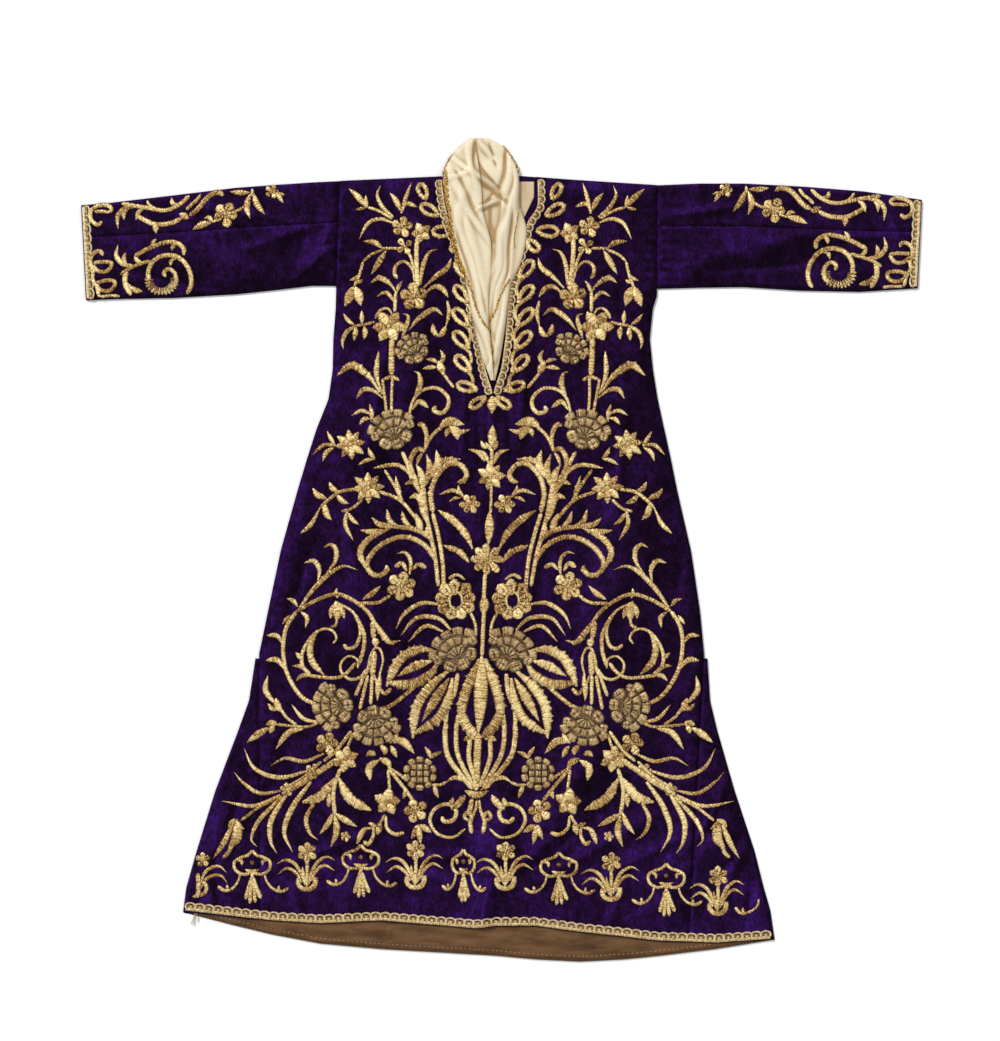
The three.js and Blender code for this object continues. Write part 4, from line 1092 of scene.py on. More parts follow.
def velvet_material():
    """Silk velvet: dark violet pile, lighter brushed streaks, a painted sheen, greyish where worn."""
    velvet = Finish("Violet silk velvet")
    streaks = velvet.noise(3.0, (1, 2.2, 1), 5, roughness=0.7)
    crush = velvet.noise(13, (1, 1.3, 1), 5, roughness=0.62)
    patches = velvet.noise(55, (1, 1.5, 1), 3, roughness=0.6)
    wear = velvet.noise(15, (1.4, 1, 1), 6, roughness=0.7)
    # Painted sheen: slopes facing the upper left, towards the key light, are painted lighter and those turned
    # away darker.
    facing = velvet.add("SeparateXYZ", Vector=velvet.add("NewGeometry").outputs["Normal"])
    painted_slope_sheen = velvet.math("MULTIPLY", facing.outputs["X"], -0.7)
    painted_slope_sheen = velvet.math("MULTIPLY_ADD", facing.outputs["Y"], 0.8, painted_slope_sheen)
    painted_slope_sheen = velvet.math("MINIMUM", velvet.math("MAXIMUM", painted_slope_sheen, -0.06), 0.06)
    spot = velvet.add("SeparateXYZ", Vector=velvet.add("TexCoord").outputs["Object"])
    # Painted sheen: the skirt is painted lighter the lower it lies below Y = -0.38 m, towards the hem.
    foot = velvet.math("MAXIMUM", velvet.math("MULTIPLY_ADD", spot.outputs["Y"], -1, -0.38), 0)
    foot = velvet.math("MULTIPLY", foot, 0.2)
    sleeve = velvet.math("SUBTRACT", velvet.math("ABSOLUTE", spot.outputs["X"]), 0.3)
    sleeve = velvet.math("MAXIMUM", sleeve, 0)
    level = velvet.math("ADD", velvet.math("MULTIPLY", streaks, 0.5), velvet.math("MULTIPLY", patches, 0.24))
    level = velvet.math("MULTIPLY_ADD", crush, 0.42, level)
    level = velvet.math("ADD", level, velvet.math("ADD", painted_slope_sheen, velvet.math("SUBTRACT", foot, 0.08)))
    level = velvet.math("MULTIPLY_ADD", sleeve, 0.04, level)
    colour = velvet.ramp(level, (0.4, "#0e0411"), (0.5, "#1a0824"), (0.6, "#290e42"), (0.76, "#3d1c78"))
    worn = velvet.math("MULTIPLY", velvet.math("GREATER_THAN", wear, 0.64), 0.25)
    colour = velvet.mix(worn, colour, rgb("#352443"))
    pile = velvet.noise(0.9, (1, 2.5, 1), 2)
    rough = velvet.bump(pile, 0.3, 0.5)
    rough = velvet.bump(wear, 1.4, 0.45, rough)
    return velvet.finish(
        Base_Color=colour,
        Roughness=0.85,
        Normal=rough,
        Specular_IOR_Level=0.03,
        Sheen_Weight=0.05,
        Sheen_Roughness=0.35,
        Sheen_Tint=rgb("#7a4ae0"),
    )


def thread_material(name, dark, mid, light, metal=0.5, edge_shade=0.85):
    """Couched gilt thread: uneven bright and dull bars across each strip, with painted shade darkening its
    edges.
    """
    thread = Finish(name)
    stitch = thread.add("Attribute", {"attribute_name": "stitch"})
    parts = thread.add("SeparateXYZ", Vector=stitch.outputs["Vector"])
    along, across, tone = parts.outputs["X"], parts.outputs["Y"], parts.outputs["Z"]
    beside, apart = thread.math("MULTIPLY", across, 0.7), thread.math("MULTIPLY", tone, 40)
    spot = thread.add("CombineXYZ", X=along, Y=beside, Z=apart)
    bars = thread.add("TexNoise", Vector=spot.outputs["Vector"], Scale=0.62, Detail=4, Roughness=0.7)
    fine = thread.math("SINE", thread.math("MULTIPLY", along, 2 * math.pi / 1.25))
    grain = thread.noise(2.2, (1, 1, 1), 4, roughness=0.75)
    # Painted shade: each strip and padded cell is painted darker towards its edges, where its thread turns
    # down.
    edge = thread.math("POWER", thread.math("ABSOLUTE", across), 6)
    level = thread.math("MULTIPLY_ADD", thread.math("SUBTRACT", bars.outputs["Fac"], 0.5), 2.6, 0.44)
    level = thread.math("MULTIPLY_ADD", thread.math("SUBTRACT", grain, 0.5), 2.0, level)
    level = thread.math("MULTIPLY_ADD", edge, -edge_shade, level)
    # Each strip's tone is random, raised by its painted glint; dark bases and picots get low set tones.
    level = thread.math("MULTIPLY_ADD", tone, 0.29, level)
    level = thread.math("MULTIPLY_ADD", fine, 0.07, level)
    colour = thread.ramp(level, (0.1, dark), (0.46, mid), (0.86, light))
    relief = thread.bump(level, 0.5, 0.65)
    return thread.finish(Base_Color=colour, Roughness=0.3, Metallic=metal, Normal=relief)


def silk_material():
    """Fine cream silk: soft lustre, faint crosswise slubs, painted brown where painted shade lies in its
    folds.
    """
    silk = Finish("Cream silk")
    slubs = silk.noise(1.4, (8, 1, 1), 3)
    stains = silk.noise(22, (1, 1, 1), 3)
    painted_shade = silk.add("Attribute", {"attribute_name": "painted_shade"}).outputs["Fac"]
    colour = silk.mix(0.35, silk.ramp(slubs, (0.3, "#e0d0a9"), (0.7, "#f7ecd2")), rgb("#efe1c1"))
    colour = silk.mix(silk.math("MULTIPLY", stains, 0.3), colour, rgb("#dcc59b"))
    # Painted shade: the silk is painted brown as its per-point shade attribute rises.
    colour = silk.mix(silk.math("MULTIPLY", painted_shade, 0.85), colour, rgb("#9a6f2e"))
    relief = silk.bump(slubs, 0.15, 0.5)
    return silk.finish(
        Base_Color=colour,
        Roughness=0.5,
        Normal=relief,
        Specular_IOR_Level=0.35,
        Sheen_Weight=0.1,
        Subsurface_Weight=0.04,
    )


def cotton_material(name, dark, mid, light, streak=(1, 4, 1), spread=0.22):
    """Plain woven cotton: matt, with stains along its folds."""
    cotton = Finish(name)
    weave = cotton.noise(0.9, (1, 1, 1), 2)
    stains = cotton.noise(14, streak, 5, roughness=0.65)
    colour = cotton.ramp(stains, (0.52 - spread, dark), (0.52, mid), (0.52 + spread, light))
    relief = cotton.bump(stains, 1.0, 0.5, cotton.bump(weave, 0.2, 0.6))
    return cotton.finish(Base_Color=colour, Roughness=0.9, Normal=relief, Specular_IOR_Level=0.2)


MATERIALS = {
    "velvet": velvet_material,
    "gold": lambda: thread_material("Gilt thread", "#2a1403", "#a9782f", "#f6e2a4"),
    "bead": lambda: thread_material("Dull gilt purl", "#221204", "#8f6c3c", "#e0c48e", 0.4, 1.2),
    "braid": lambda: thread_material("Gilt braid", "#6b4e22", "#c2a067", "#efe0b6", 0.4),
    "lace": lambda: thread_material("Gold lace", "#4e2c06", "#b27a20", "#f2cc70", 0.4),
    "silk": silk_material,
    "facing": lambda: cotton_material("Beige cotton", "#bfa27a", "#cdb693", "#dccaa8"),
    "lining": lambda: cotton_material("Brown cotton", "#4c3420", "#62462c", "#745539", (4, 1, 1), 0.17),
}
READY = {}


def material(name):
    """A material of the table, made once."""
    if name not in READY:
        READY[name] = MATERIALS[name]()
    return READY[name]


# Velvet


def front_half(sign):
    """Places of half of the front, from its outer edge to the middle line or the neck opening."""
    side = "left" if sign < 0 else "right"

    def place(u, v):
        level = LOW + (HIGH - LOW) * v

        def raised(x):
            hem = look(HEM, "x", x, "front") - LOW
            shoulder = look(SHOULDER, "x", x, "y") - HIGH
            return level + hem * (1 - v) ** 3 + shoulder * v**3

        y = level
        for _ in range(3):
            outer = look(PANEL, "y", y, side) - sign * SEAM_GAP
            inner = np.where(y > NECK[0].y, look(NECK, "y", y, side), axis_x(y))
            x = outer + (inner - outer) * u
            y = raised(x)
        return np.stack([x, y, ground(x, y) - WALL / 2], 1)

    return place


def build_front(cell):
    """Front of velvet in one piece with its neck opening."""
    rows, columns = round((HIGH - LOW) / cell), round(300 / cell)
    whole = grid_sheet(columns, rows, front_half(-1))
    other = grid_sheet(columns, rows, front_half(1))
    half = bpy.data.meshes.new("half")
    other.to_mesh(half)
    other.free()
    whole.from_mesh(half)
    bpy.data.meshes.remove(half)
    middle = [v for v in whole.verts if abs(v.co.x - axis_x(v.co.y)) < 0.4 and v.co.y <= NECK[0].y + 2]
    bmesh.ops.remove_doubles(whole, verts=middle, dist=1.2)
    bmesh.ops.recalc_face_normals(whole, faces=whole.faces)
    front = object_of(whole, "velvet_front", material("velvet"))
    add_wall(front)
    return front


def build_back(cell):
    """Back of velvet, flat on the floor, longer than the front."""

    def place(u, v):
        level = BACK_LOW + (HIGH - BACK_LOW) * v
        y = level
        for _ in range(3):
            left = look(PANEL, "y", y, "left") + SEAM_GAP
            right = look(PANEL, "y", y, "right") - SEAM_GAP
            x = left + (right - left) * u
            hem = look(HEM, "x", x, "back") - BACK_LOW
            shoulder = look(SHOULDER, "x", x, "y") - HIGH
            y = level + hem * (1 - v) ** 3 + shoulder * v**3
        return np.stack([x, y, np.full(len(x), WALL / 2)], 1)

    mesh = grid_sheet(round(620 / cell), round(1290 / cell), place)
    back = object_of(mesh, "velvet_back", material("velvet"))
    add_wall(back)
    return back


def round_fold(u, seam, edge, inward):
    """Places across a layer folded at an edge: out over the top to the fold and back under to the seam."""
    bend = edge + inward * (FOLD_RADIUS + WALL / 2)
    flat = np.abs(bend - seam)
    turn = math.pi * FOLD_RADIUS
    travel = u * (2 * flat + turn)
    over = np.clip(travel / np.maximum(flat, 0.01), 0, 1)
    under = np.clip((travel - flat - turn) / np.maximum(flat, 0.01), 0, 1)
    angle = math.pi / 2 - np.clip((travel - flat) / FOLD_RADIUS, 0, math.pi)
    across = seam + (bend - seam) * (over - under) - inward * FOLD_RADIUS * np.cos(angle)
    z = FOLD_RADIUS + WALL / 2 + FOLD_RADIUS * np.sin(angle)
    return across, z, travel <= flat


def lifted(x, y, z, upper, away):
    """Raises the upper layer of a folded piece to the ground's creases, which fade towards its fold."""
    top = FOLD_RADIUS * 2 + WALL / 2
    fade = np.clip(away / EDGE_ROLL, 0, 1)
    return np.where(upper, z + (ground(x, y) - WALL / 2 - top) * fade, z)


def build_gore(side, cell):
    """Side gore of the skirt, folded round the side."""
    inward = 1 if side == "left" else -1

    def place(u, v):
        level = LOW + (GORE_HEAD - LOW) * v
        y = level
        for _ in range(3):
            seam = look(PANEL, "y", y, side) - inward * SEAM_GAP
            edge = look(GORE, "y", y, side)
            x, z, upper = round_fold(u, seam, edge, inward)
            hem = np.where(upper, look(HEM, "x", x, "front"), look(HEM, "x", x, "back"))
            y = hem + (level - hem) * (1 - (1 - v) ** 3)
        away = np.minimum(np.abs(x - edge), GORE_HEAD - level)
        return np.stack([x, y, lifted(x, y, z, upper, away)], 1)

    mesh = grid_sheet(64, round(440 / cell), place)
    gore = object_of(mesh, "velvet_gore_" + side, material("velvet"))
    add_wall(gore)
    return gore


def build_sleeve(sleeve, part, cell):
    """Upper or lower length of a sleeve, folded along its edge."""
    column, inward = ("top", -1) if part == "upper" else ("bottom", 1)

    def place(u, v):
        seam = look(sleeve.stations, "along", v, "seam") - inward * SEAM_GAP
        edge = look(sleeve.stations, "along", v, column)
        y, z, upper = round_fold(u, seam, edge, inward)
        x = sleeve_x(sleeve, v, y)
        return np.stack([x, y, lifted(x, y, z, upper, np.abs(y - edge))], 1)

    mesh = grid_sheet(56, round(420 / cell), place)
    bmesh.ops.recalc_face_normals(mesh, faces=mesh.faces)
    made = object_of(mesh, f"velvet_sleeve_{sleeve.side}_{part}", material("velvet"))
    add_wall(made)
    return made


# Embroidery


def smooth_route(places, count):
    """Points and sideways directions spaced along a smooth line through some places."""
    knots = np.array(places, float)
    knots = np.vstack([2 * knots[0] - knots[1], knots, 2 * knots[-1] - knots[-2]])
    fine = []
    for k in range(1, len(knots) - 2):
        a, b, c, d = knots[k - 1 : k + 3]
        t = np.linspace(0, 1, 17)[: None if k == len(knots) - 3 else -1, None]
        fine.append(b + 0.5 * t * (c - a + t * (2 * a - 5 * b + 4 * c - d + t * (3 * b - a - 3 * c + d))))
    line = np.vstack(fine)
    run = np.concatenate([[0], np.cumsum(np.hypot(*np.diff(line, axis=0).T))])
    at = np.linspace(0, run[-1], count)
    points = np.stack([np.interp(at, run, line[:, 0]), np.interp(at, run, line[:, 1])], 1)
    ahead = np.gradient(points, axis=0)
    ahead /= np.maximum(np.hypot(*ahead.T), 1e-6)[:, None]
    return points, np.stack([-ahead[:, 1], ahead[:, 0]], 1), run[-1]


def strip_width(form, t):
    """Share of its greatest width that a strip has along its length."""
    if form == "blade":
        return np.where(
            t < 0.45,
            0.5 + 0.5 * np.sin(t / 0.45 * math.pi / 2),
            np.cos(np.clip((t - 0.45) / 0.55, 0, 1) * math.pi / 2) ** 0.8,
        )
    if form == "leaf":
        return np.sin(math.pi * np.clip(t, 0, 1) ** 0.9) ** 0.8
    if form == "saw":
        return np.minimum(0.3 + 2.4 * t, 1) * np.clip((1.04 - t) / 0.28, 0.02, 1) ** 0.8
    if form == "petal":
        return np.where(t < 0.6, 0.25 + 0.75 * t / 0.6, np.sqrt(np.clip(1 - ((t - 0.6) / 0.4) ** 2, 0, 1)))
    if form == "comma":
        return np.where(
            t < 0.6,
            0.35 + 0.65 * np.sin(np.clip(t / 0.6, 0, 1) * math.pi / 2) ** 2,
            np.cos(np.clip((t - 0.6) / 0.4, 0, 1) * math.pi / 2) ** 0.7,
        )
    if form == "hook":
        return 0.55 + 0.45 * t
    return np.ones_like(t)


class Stitched:
    """Raised strips gathered in one mesh, laid out flat and then set down on the velvet."""

    def __init__(self, seed=SEED):
        self.mesh = bmesh.new()
        self.layer = self.mesh.verts.layers.float_vector.new("stitch")
        self.chance = random.Random(seed)

    def patch(self, columns, rows, place, tone=None):
        """A grid from place(u, v): x, y, height, then mm along, share across and painted glint of its
        stitches.
        """
        made = bmesh.ops.create_grid(self.mesh, x_segments=columns, y_segments=rows, size=0.5)
        verts = made["verts"]
        shares = np.array([vert.co[:2] for vert in verts]) + 0.5
        x, y, z, along, across, glint = place(shares[:, 0], shares[:, 1])
        tone = self.chance.uniform(0.2, 0.8) if tone is None else tone
        for k, vert in enumerate(verts):
            vert.co = (x[k], y[k], z[k])
            vert[self.layer] = (along[k], across[k], tone + glint[k])

    def strip(self, form, width, route, height=2.0, mirror=None, base=0.0, tone=None, turned=False):
        """A raised strip along a route; mirror maps its points onto the dress, turned swaps its sides."""
        form, _, toothed = form.partition(" ")
        spots = [mirror(*spot) for spot in route] if mirror else route
        rough = sum(math.dist(a, b) for a, b in zip(spots, spots[1:]))
        fine = toothed or form in ("petal", "saw")
        rows = max(6, round(rough / (1.7 if fine else 3.0)))
        points, aside, length = smooth_route(spots, rows + 1)
        offset = self.chance.uniform(0, 90)
        side = {"left": 1, "right": -1}.get(toothed, 0) * (-1 if turned else 1)
        pitch = TOOTH["pitch"] if width > 12 else TOOTH["small_pitch"]
        depth = width * (TOOTH["one_sided"] if side else TOOTH["both_sides"])

        def place(u, v):
            row = np.rint(v * rows).astype(int)
            share = strip_width(form, v)
            ends = np.clip(np.minimum(v, 1 - v) * length / (width * 0.45), 0, 1)
            if form in ("stem", "hook"):
                share = share * np.sqrt(np.clip(ends, 0.12, 1))
            across = np.sin((u - 0.5) * math.pi)
            half = width / 2 * np.maximum(share, 0.06)
            crown = np.maximum(1 - np.abs(across) ** 3.2, 0) ** 0.55
            rise = 0.8 * height * np.sqrt(np.clip(share, 0.05, 1)) * crown - SUNK
            shift = half * across
            if form == "petal":
                # A petal dips along its middle and is painted darker there, a painted shade in the crease.
                crease = 0.93 * np.exp(-((across / 0.2) ** 2)) * np.clip((0.9 - v) * 4, 0, 1)
                rise = rise - 0.4 * height * crease
                across = np.maximum(np.abs(across), crease) * np.where(across < 0, -1, 1)
            if toothed or form == "saw":
                along = v * length / pitch + offset
                tooth = (along + 0.18 * np.sin(along * 2.3)) % 1.0
                cut = depth * (1 - tooth) ** 0.8 * np.clip(share * 1.6, 0, 1)
                outer = across * side > 0.6 if side else np.abs(across) > 0.6
                shift = shift - np.where(outer, cut * np.sign(across), 0.0)
            x = points[row, 0] + aside[row, 0] * shift
            y = points[row, 1] + aside[row, 1] * shift
            # Painted glint: a strip is painted brighter the nearer it lies to the GLINT direction.
            lean = np.arctan2(aside[row, 1], aside[row, 0])
            return x, y, base + rise, v * length + offset, across, 0.55 * np.cos(2 * lean - GLINT)

        self.patch(6, rows, place, tone)

    def wedge(self, x, y, turn, spread, inner, outer, height=3.8, round_end=False):
        """A padded cell between two radii, spread degrees wide about a direction."""

        def place(u, v):
            a, b = (u - 0.5) * 2, (v - 0.5) * 2
            reach = outer - (0.14 * (outer - inner) * a * a if round_end else 0)
            r = inner + (reach - inner) * v
            angle = np.radians(turn - spread / 2 * a)
            crown = (np.maximum(1 - a**4, 0) * np.maximum(1 - b**4, 0)) ** 0.45
            # Painted shade: a cell is painted darker towards its borders.
            edge = np.maximum(np.abs(a), np.abs(b)) ** 2
            px, py = x + r * np.cos(angle), y + r * np.sin(angle)
            return px, py, height * crown - SUNK, a * (outer - inner), edge, 0 * a

        self.patch(7, 7, place)

    def mound(self, x, y, turn, length, width, height=3.0, power=2.6, slot=0.0, base=0.0, tone=None, cells=8):
        """A raised oval or squarish mound about a point; slot sinks its middle."""
        angle = math.radians(turn)
        ahead = np.array([math.cos(angle), math.sin(angle)])

        def place(u, v):
            a, b = (v - 0.5) * 2, (u - 0.5) * 2
            reach = np.maximum(np.abs(a), np.abs(b))
            norm = (np.abs(a) ** power + np.abs(b) ** power) ** (1 / power)
            scale = np.where(norm > 0, reach / np.maximum(norm, 1e-6), 0)
            a, b = a * scale, b * scale
            px = x + ahead[0] * a * length / 2 - ahead[1] * b * width / 2
            py = y + ahead[1] * a * length / 2 + ahead[0] * b * width / 2
            crown = np.maximum(1 - reach**2.4, 0) ** 0.55
            # Painted shade: the slot and the rim of a mound are painted darker.
            dip = slot * np.exp(-((b / 0.28) ** 2) - (a / 0.7) ** 4)
            edge = np.maximum(reach**1.6, dip * 1.9)
            return px, py, base + height * (crown - dip) - SUNK, a * length / 2, edge, 0 * a

        self.patch(cells, cells, place, tone)

    def done(self, name, finish, flat=False):
        """Object with its points set down on the velvet, or at its plain height."""
        self.mesh.verts.ensure_lookup_table()
        spots = np.array([vert.co[:] for vert in self.mesh.verts])
        floor = np.full(len(spots), TOP_Z) if flat else ground(spots[:, 0], spots[:, 1])
        for vert, z in zip(self.mesh.verts, floor):
            vert.co.z += z
        bmesh.ops.recalc_face_normals(self.mesh, faces=self.mesh.faces)
        return object_of(self.mesh, name, material(finish))


def notched(row):
    """Form of a strip, with teeth on its outer side when it is a wide leaf that bends."""
    if row.width < 11.5 or row.form not in ("comma", "blade"):
        return row.form
    (ax, ay), (bx, by), (cx, cy) = row.route[0], row.route[len(row.route) // 2], row.route[-1]
    bend = (bx - ax) * (cy - by) - (by - ay) * (cx - bx)
    return row.form + (" right" if bend > 0 else " left")


def side_of(sign):
    """Name of the half on which X away from the middle line has a sign."""
    return "right" if sign > 0 else "left"


def on_dress(sign):
    """Maps a place of the right half to the right (1) or left (-1) half of the dress."""
    return lambda x, y: (axis_x(y) + sign * x, y)


# Directions round a closed ring, the last one as the first
TURNS = [2 * math.pi * k / 12 for k in range(13)]

# A padded cluster, in shares of its radius: rows of cells fanned about a point below its heart, and slotted
# ovals round its lower side
PodRow = namedtuple("PodRow", "inner outer round_end")
FAN = {"columns": 5, "opens": 132.0, "centre": -0.3}
POD_ROWS = (PodRow(0.12, 0.5, False), PodRow(0.53, 0.9, False), PodRow(0.93, 1.32, True))
POD_OVALS = (
    Pod(0.84, 86, 0.5, 0.42, 0.5),
    Pod(0.84, -86, 0.5, 0.42, 0.5),
    Pod(0.66, 130, 0.64, 0.52, 0.5),
    Pod(0.66, -130, 0.64, 0.52, 0.5),
    Pod(0.62, 180, 0.62, 0.52, 0.5),
)


def add_cluster(beads, x, y, up, radius):
    """A padded cluster: a fan of three rows of cells, with slotted ovals beside and below it."""
    angle = math.radians(up)
    fx, fy = x + FAN["centre"] * radius * math.cos(angle), y + FAN["centre"] * radius * math.sin(angle)
    # A dark base under the cells, showing as painted shade in the gaps between them.
    beads.mound(x, y, up, radius * 1.8, radius * 1.8, height=1.9, power=2, base=-0.2, tone=-0.7)
    step = FAN["opens"] / FAN["columns"]
    for row in POD_ROWS:
        for k in range(FAN["columns"]):
            turn = up + (k - (FAN["columns"] - 1) / 2) * step
            gap = math.degrees(0.9 / ((row.inner + row.outer) / 2 * radius))
            reach = row.outer * beads.chance.uniform(0.97, 1.03)
            inner, outer = row.inner * radius, reach * radius
            beads.wedge(fx, fy, turn, step - gap, inner, outer, height=4.2, round_end=row.round_end)
    for pod in POD_OVALS:
        angle = math.radians(up + pod.turn)
        px, py = x + radius * pod.out * math.cos(angle), y + radius * pod.out * math.sin(angle)
        length, width = pod.length * radius, pod.width * radius
        beads.mound(px, py, up + pod.turn + 90, length, width, height=4.4, slot=pod.slot)


def add_cone(beads, x, y, radius):
    """A padded cone: square cells in the middle and a ring of round lobes."""
    # A dark base under the cells, showing as painted shade in the gaps between them.
    beads.mound(x, y, 0, radius * 1.7, radius * 1.7, height=1.5, power=2, base=-0.2, tone=-1.2)
    cell = radius * 0.4
    for column in (-1, 0, 1):
        for row in (-1, 0, 1):
            px, py = x + column * cell, y + row * cell
            beads.mound(px, py, 0, cell * 0.97, cell * 0.97, height=4, power=5, slot=0.1)
    for k in range(10):
        turn = 18 + 36 * k
        px = x + radius * 0.86 * math.cos(math.radians(turn))
        py = y + radius * 0.86 * math.sin(math.radians(turn))
        beads.mound(px, py, turn, radius * 0.46, radius * 0.56, height=3.6, power=2.4)


def add_flower(stitched, flower, place):
    """A flower of petal strips: round on a rose, pointed on a star, toothed round a dark eye on a pink."""
    x, y = place(flower.x, flower.y)
    form = {"rose": "petal", "star": "leaf", "pink": "petal both"}[flower.form]
    start = 0.28 if flower.form == "pink" else 0.08
    share = {"rose": 1.3, "star": 1.3, "pink": 2.0}[flower.form]
    width = min(share * flower.radius * math.tan(math.pi / flower.petals), flower.radius * 0.85)
    height = 2.4 if flower.form == "rose" else 3.0
    for k in range(flower.petals):
        angle = math.radians(flower.turn + 360 * k / flower.petals + stitched.chance.uniform(-4, 4))
        reach = flower.radius * stitched.chance.uniform(0.92, 1.06)
        ahead = (math.cos(angle), math.sin(angle))
        inner = flower.radius * start
        route = [(x + ahead[0] * r, y + ahead[1] * r) for r in (inner, (inner + reach) / 2, reach)]
        stitched.strip(form, width, route, height, base=0.3 * (k % 2))
    if flower.form == "pink":
        wide, tall = 0.3 * flower.radius, 0.42 * flower.radius
        ring = [(x + wide * math.cos(t), y + tall * math.sin(t)) for t in TURNS]
        stitched.strip("loop", 4.5, ring, 2.8)
    else:
        stitched.mound(x, y, 0, flower.radius * 0.34, flower.radius * 0.34, height=3.9, power=2)


def add_loop(stitched, loop, place, turned, width=10.2):
    """A closed teardrop loop of one toothed strip."""
    cosine, sine = math.cos(math.radians(loop.turn)), math.sin(math.radians(loop.turn))
    route = []
    for angle in TURNS:
        along = width / 2 + (loop.length - width) / 2 * (1 - math.cos(angle))
        aside = (loop.width - width) / 2 * math.sin(angle) * math.sin(angle / 2) ** 0.5
        route.append((loop.x + along * cosine - aside * sine, loop.y + along * sine + aside * cosine))
    stitched.strip("loop left", width, route, 2.3, place, turned=turned)


def build_pods(sign):
    """Padded clusters of one half."""
    beads = Stitched(SEED + 5)
    place = on_dress(sign)
    for flower in FLOWERS:
        x, y = place(flower.x, flower.y)
        if flower.form == "berry":
            add_cluster(beads, x, y, 90 + sign * flower.turn, flower.radius * 0.97)
        if flower.form == "cone":
            add_cone(beads, x, y, flower.radius)
    return beads.done("gold_pods_" + side_of(sign), "bead")


def build_half_embroidery(sign):
    """Scrolls, leaves, sprays and flowers of one half of the front."""
    side = side_of(sign)
    place = on_dress(sign)
    made = []
    for name, groups in (
        ("bodice", (CHEST_SPRAY, BREAST_SPRAY, FINIAL)),
        ("skirt", (FOUNTAIN, SIDE_SPRIGS, GREAT_SCROLL)),
        ("foot", (PALMETTE, FOOT_SPRIGS)),
    ):
        stitched = Stitched(SEED)
        for group in groups:
            for row in group:
                height = 2.6 if row.width > 9 else 2.1
                stitched.strip(notched(row), row.width, row.route, height, place, turned=sign < 0)
        made.append(stitched.done(f"gold_{name}_{side}", "gold"))
    blooms = Stitched(SEED + 1)
    for flower in FLOWERS:
        if flower.form not in ("berry", "cone"):
            add_flower(blooms, flower, place)
    made.append(blooms.done("gold_flowers_" + side, "gold"))
    loops = Stitched(SEED + 2)
    for loop in NECK_LOOPS[4:9]:
        route = [(loop.x + x, loop.y + y) for x, y in LOOP_TAIL.route]
        loops.strip(LOOP_TAIL.form, LOOP_TAIL.width, route, 2.0, place)
    if sign > 0:
        loops.strip(NECK_PENDANT.form, NECK_PENDANT.width, NECK_PENDANT.route, 2.6, place)
    for loop in NECK_LOOPS:
        loop = loop._replace(x=loop.x + (loop.further if sign < 0 else 0))
        add_loop(loops, loop, place, sign < 0)
    made.append(loops.done("gold_neck_loops_" + side, "gold"))
    return made


def build_middle():
    """Strips and flowers on the middle line."""
    blooms = Stitched(SEED + 3)
    for row in MIDDLE_STRIPS:
        blooms.strip(row.form, row.width, row.route, 2.5, on_dress(1))
    for flower in MIDDLE_FLOWERS:
        add_flower(blooms, flower, on_dress(1))
    return blooms.done("gold_middle", "gold")


def foot_line(x):
    """Y of the front hem at a place measured from the middle line."""
    return float(look(HEM, "x", axis_x(-600) + x, "front"))


def build_border():
    """Border above the hem: flower pots and tasselled knots in turn."""
    stitched = Stitched(SEED + 4)
    for pot in POTS:
        x, y = axis_x(-560) + pot.x, foot_line(pot.x) + pot.rise
        for row in POT_MOTIF:
            stitched.strip(row.form, row.width, [(x + a * pot.narrow, y + b) for a, b in row.route], 2.2)
        add_flower(stitched, POT_FLOWER, lambda a, b, x=x, y=y: (x + a, y + b))
    for knot in KNOTS:
        x, y = axis_x(-560) + knot.x, foot_line(knot.x) + knot.rise
        for row in KNOT_MOTIF:
            stitched.strip(row.form, row.width, [(x + a * knot.narrow, y + b) for a, b in row.route], 2.2)
        stitched.mound(x, y + 14, 0, 9, 9, power=2, tone=-0.6)
    for row in BORDER_ENDS:
        stitched.strip(row.form, row.width, row.route, 2.2, on_dress(1))
    add_flower(stitched, BORDER_END_FLOWER, on_dress(1))
    return stitched.done("gold_border", "gold")


def build_sleeve_gold(sleeve):
    """Scrolls and flowers of a sleeve, by their shares of the right sleeve's length and height."""
    stitched = Stitched(SEED + 6)

    def place(x, y):
        share = float(sleeve_share(RIGHT_SLEEVE, np.array(float(x)), np.array(float(y))))
        low, high = (float(look(RIGHT_SLEEVE.stations, "along", share, c)) for c in ("bottom", "top"))
        out = min(max((y - low) / (high - low), 0.03), 0.975)
        low, high = (float(look(sleeve.stations, "along", share, c)) for c in ("bottom", "top"))
        spot = low + (high - low) * out
        return float(sleeve_x(sleeve, share, spot)), spot

    for row in SLEEVE_MOTIFS:
        stitched.strip(row.form, row.width, row.route, 2.2, place)
    for flower in SLEEVE_FLOWERS:
        add_flower(stitched, flower, place)
    for k in range(SHELL["petals"]):
        turn = math.radians(SHELL["from"] + (SHELL["to"] - SHELL["from"]) * k / (SHELL["petals"] - 1))
        reach = (SHELL["inner"], (SHELL["inner"] + SHELL["outer"]) / 2, SHELL["outer"])
        route = [(SHELL["x"] + r * 1.12 * math.cos(turn), SHELL["y"] + r * math.sin(turn)) for r in reach]
        stitched.strip("petal", SHELL["width"], route, 2.2, place)
    return stitched.done("gold_sleeve_" + sleeve.side, "gold")


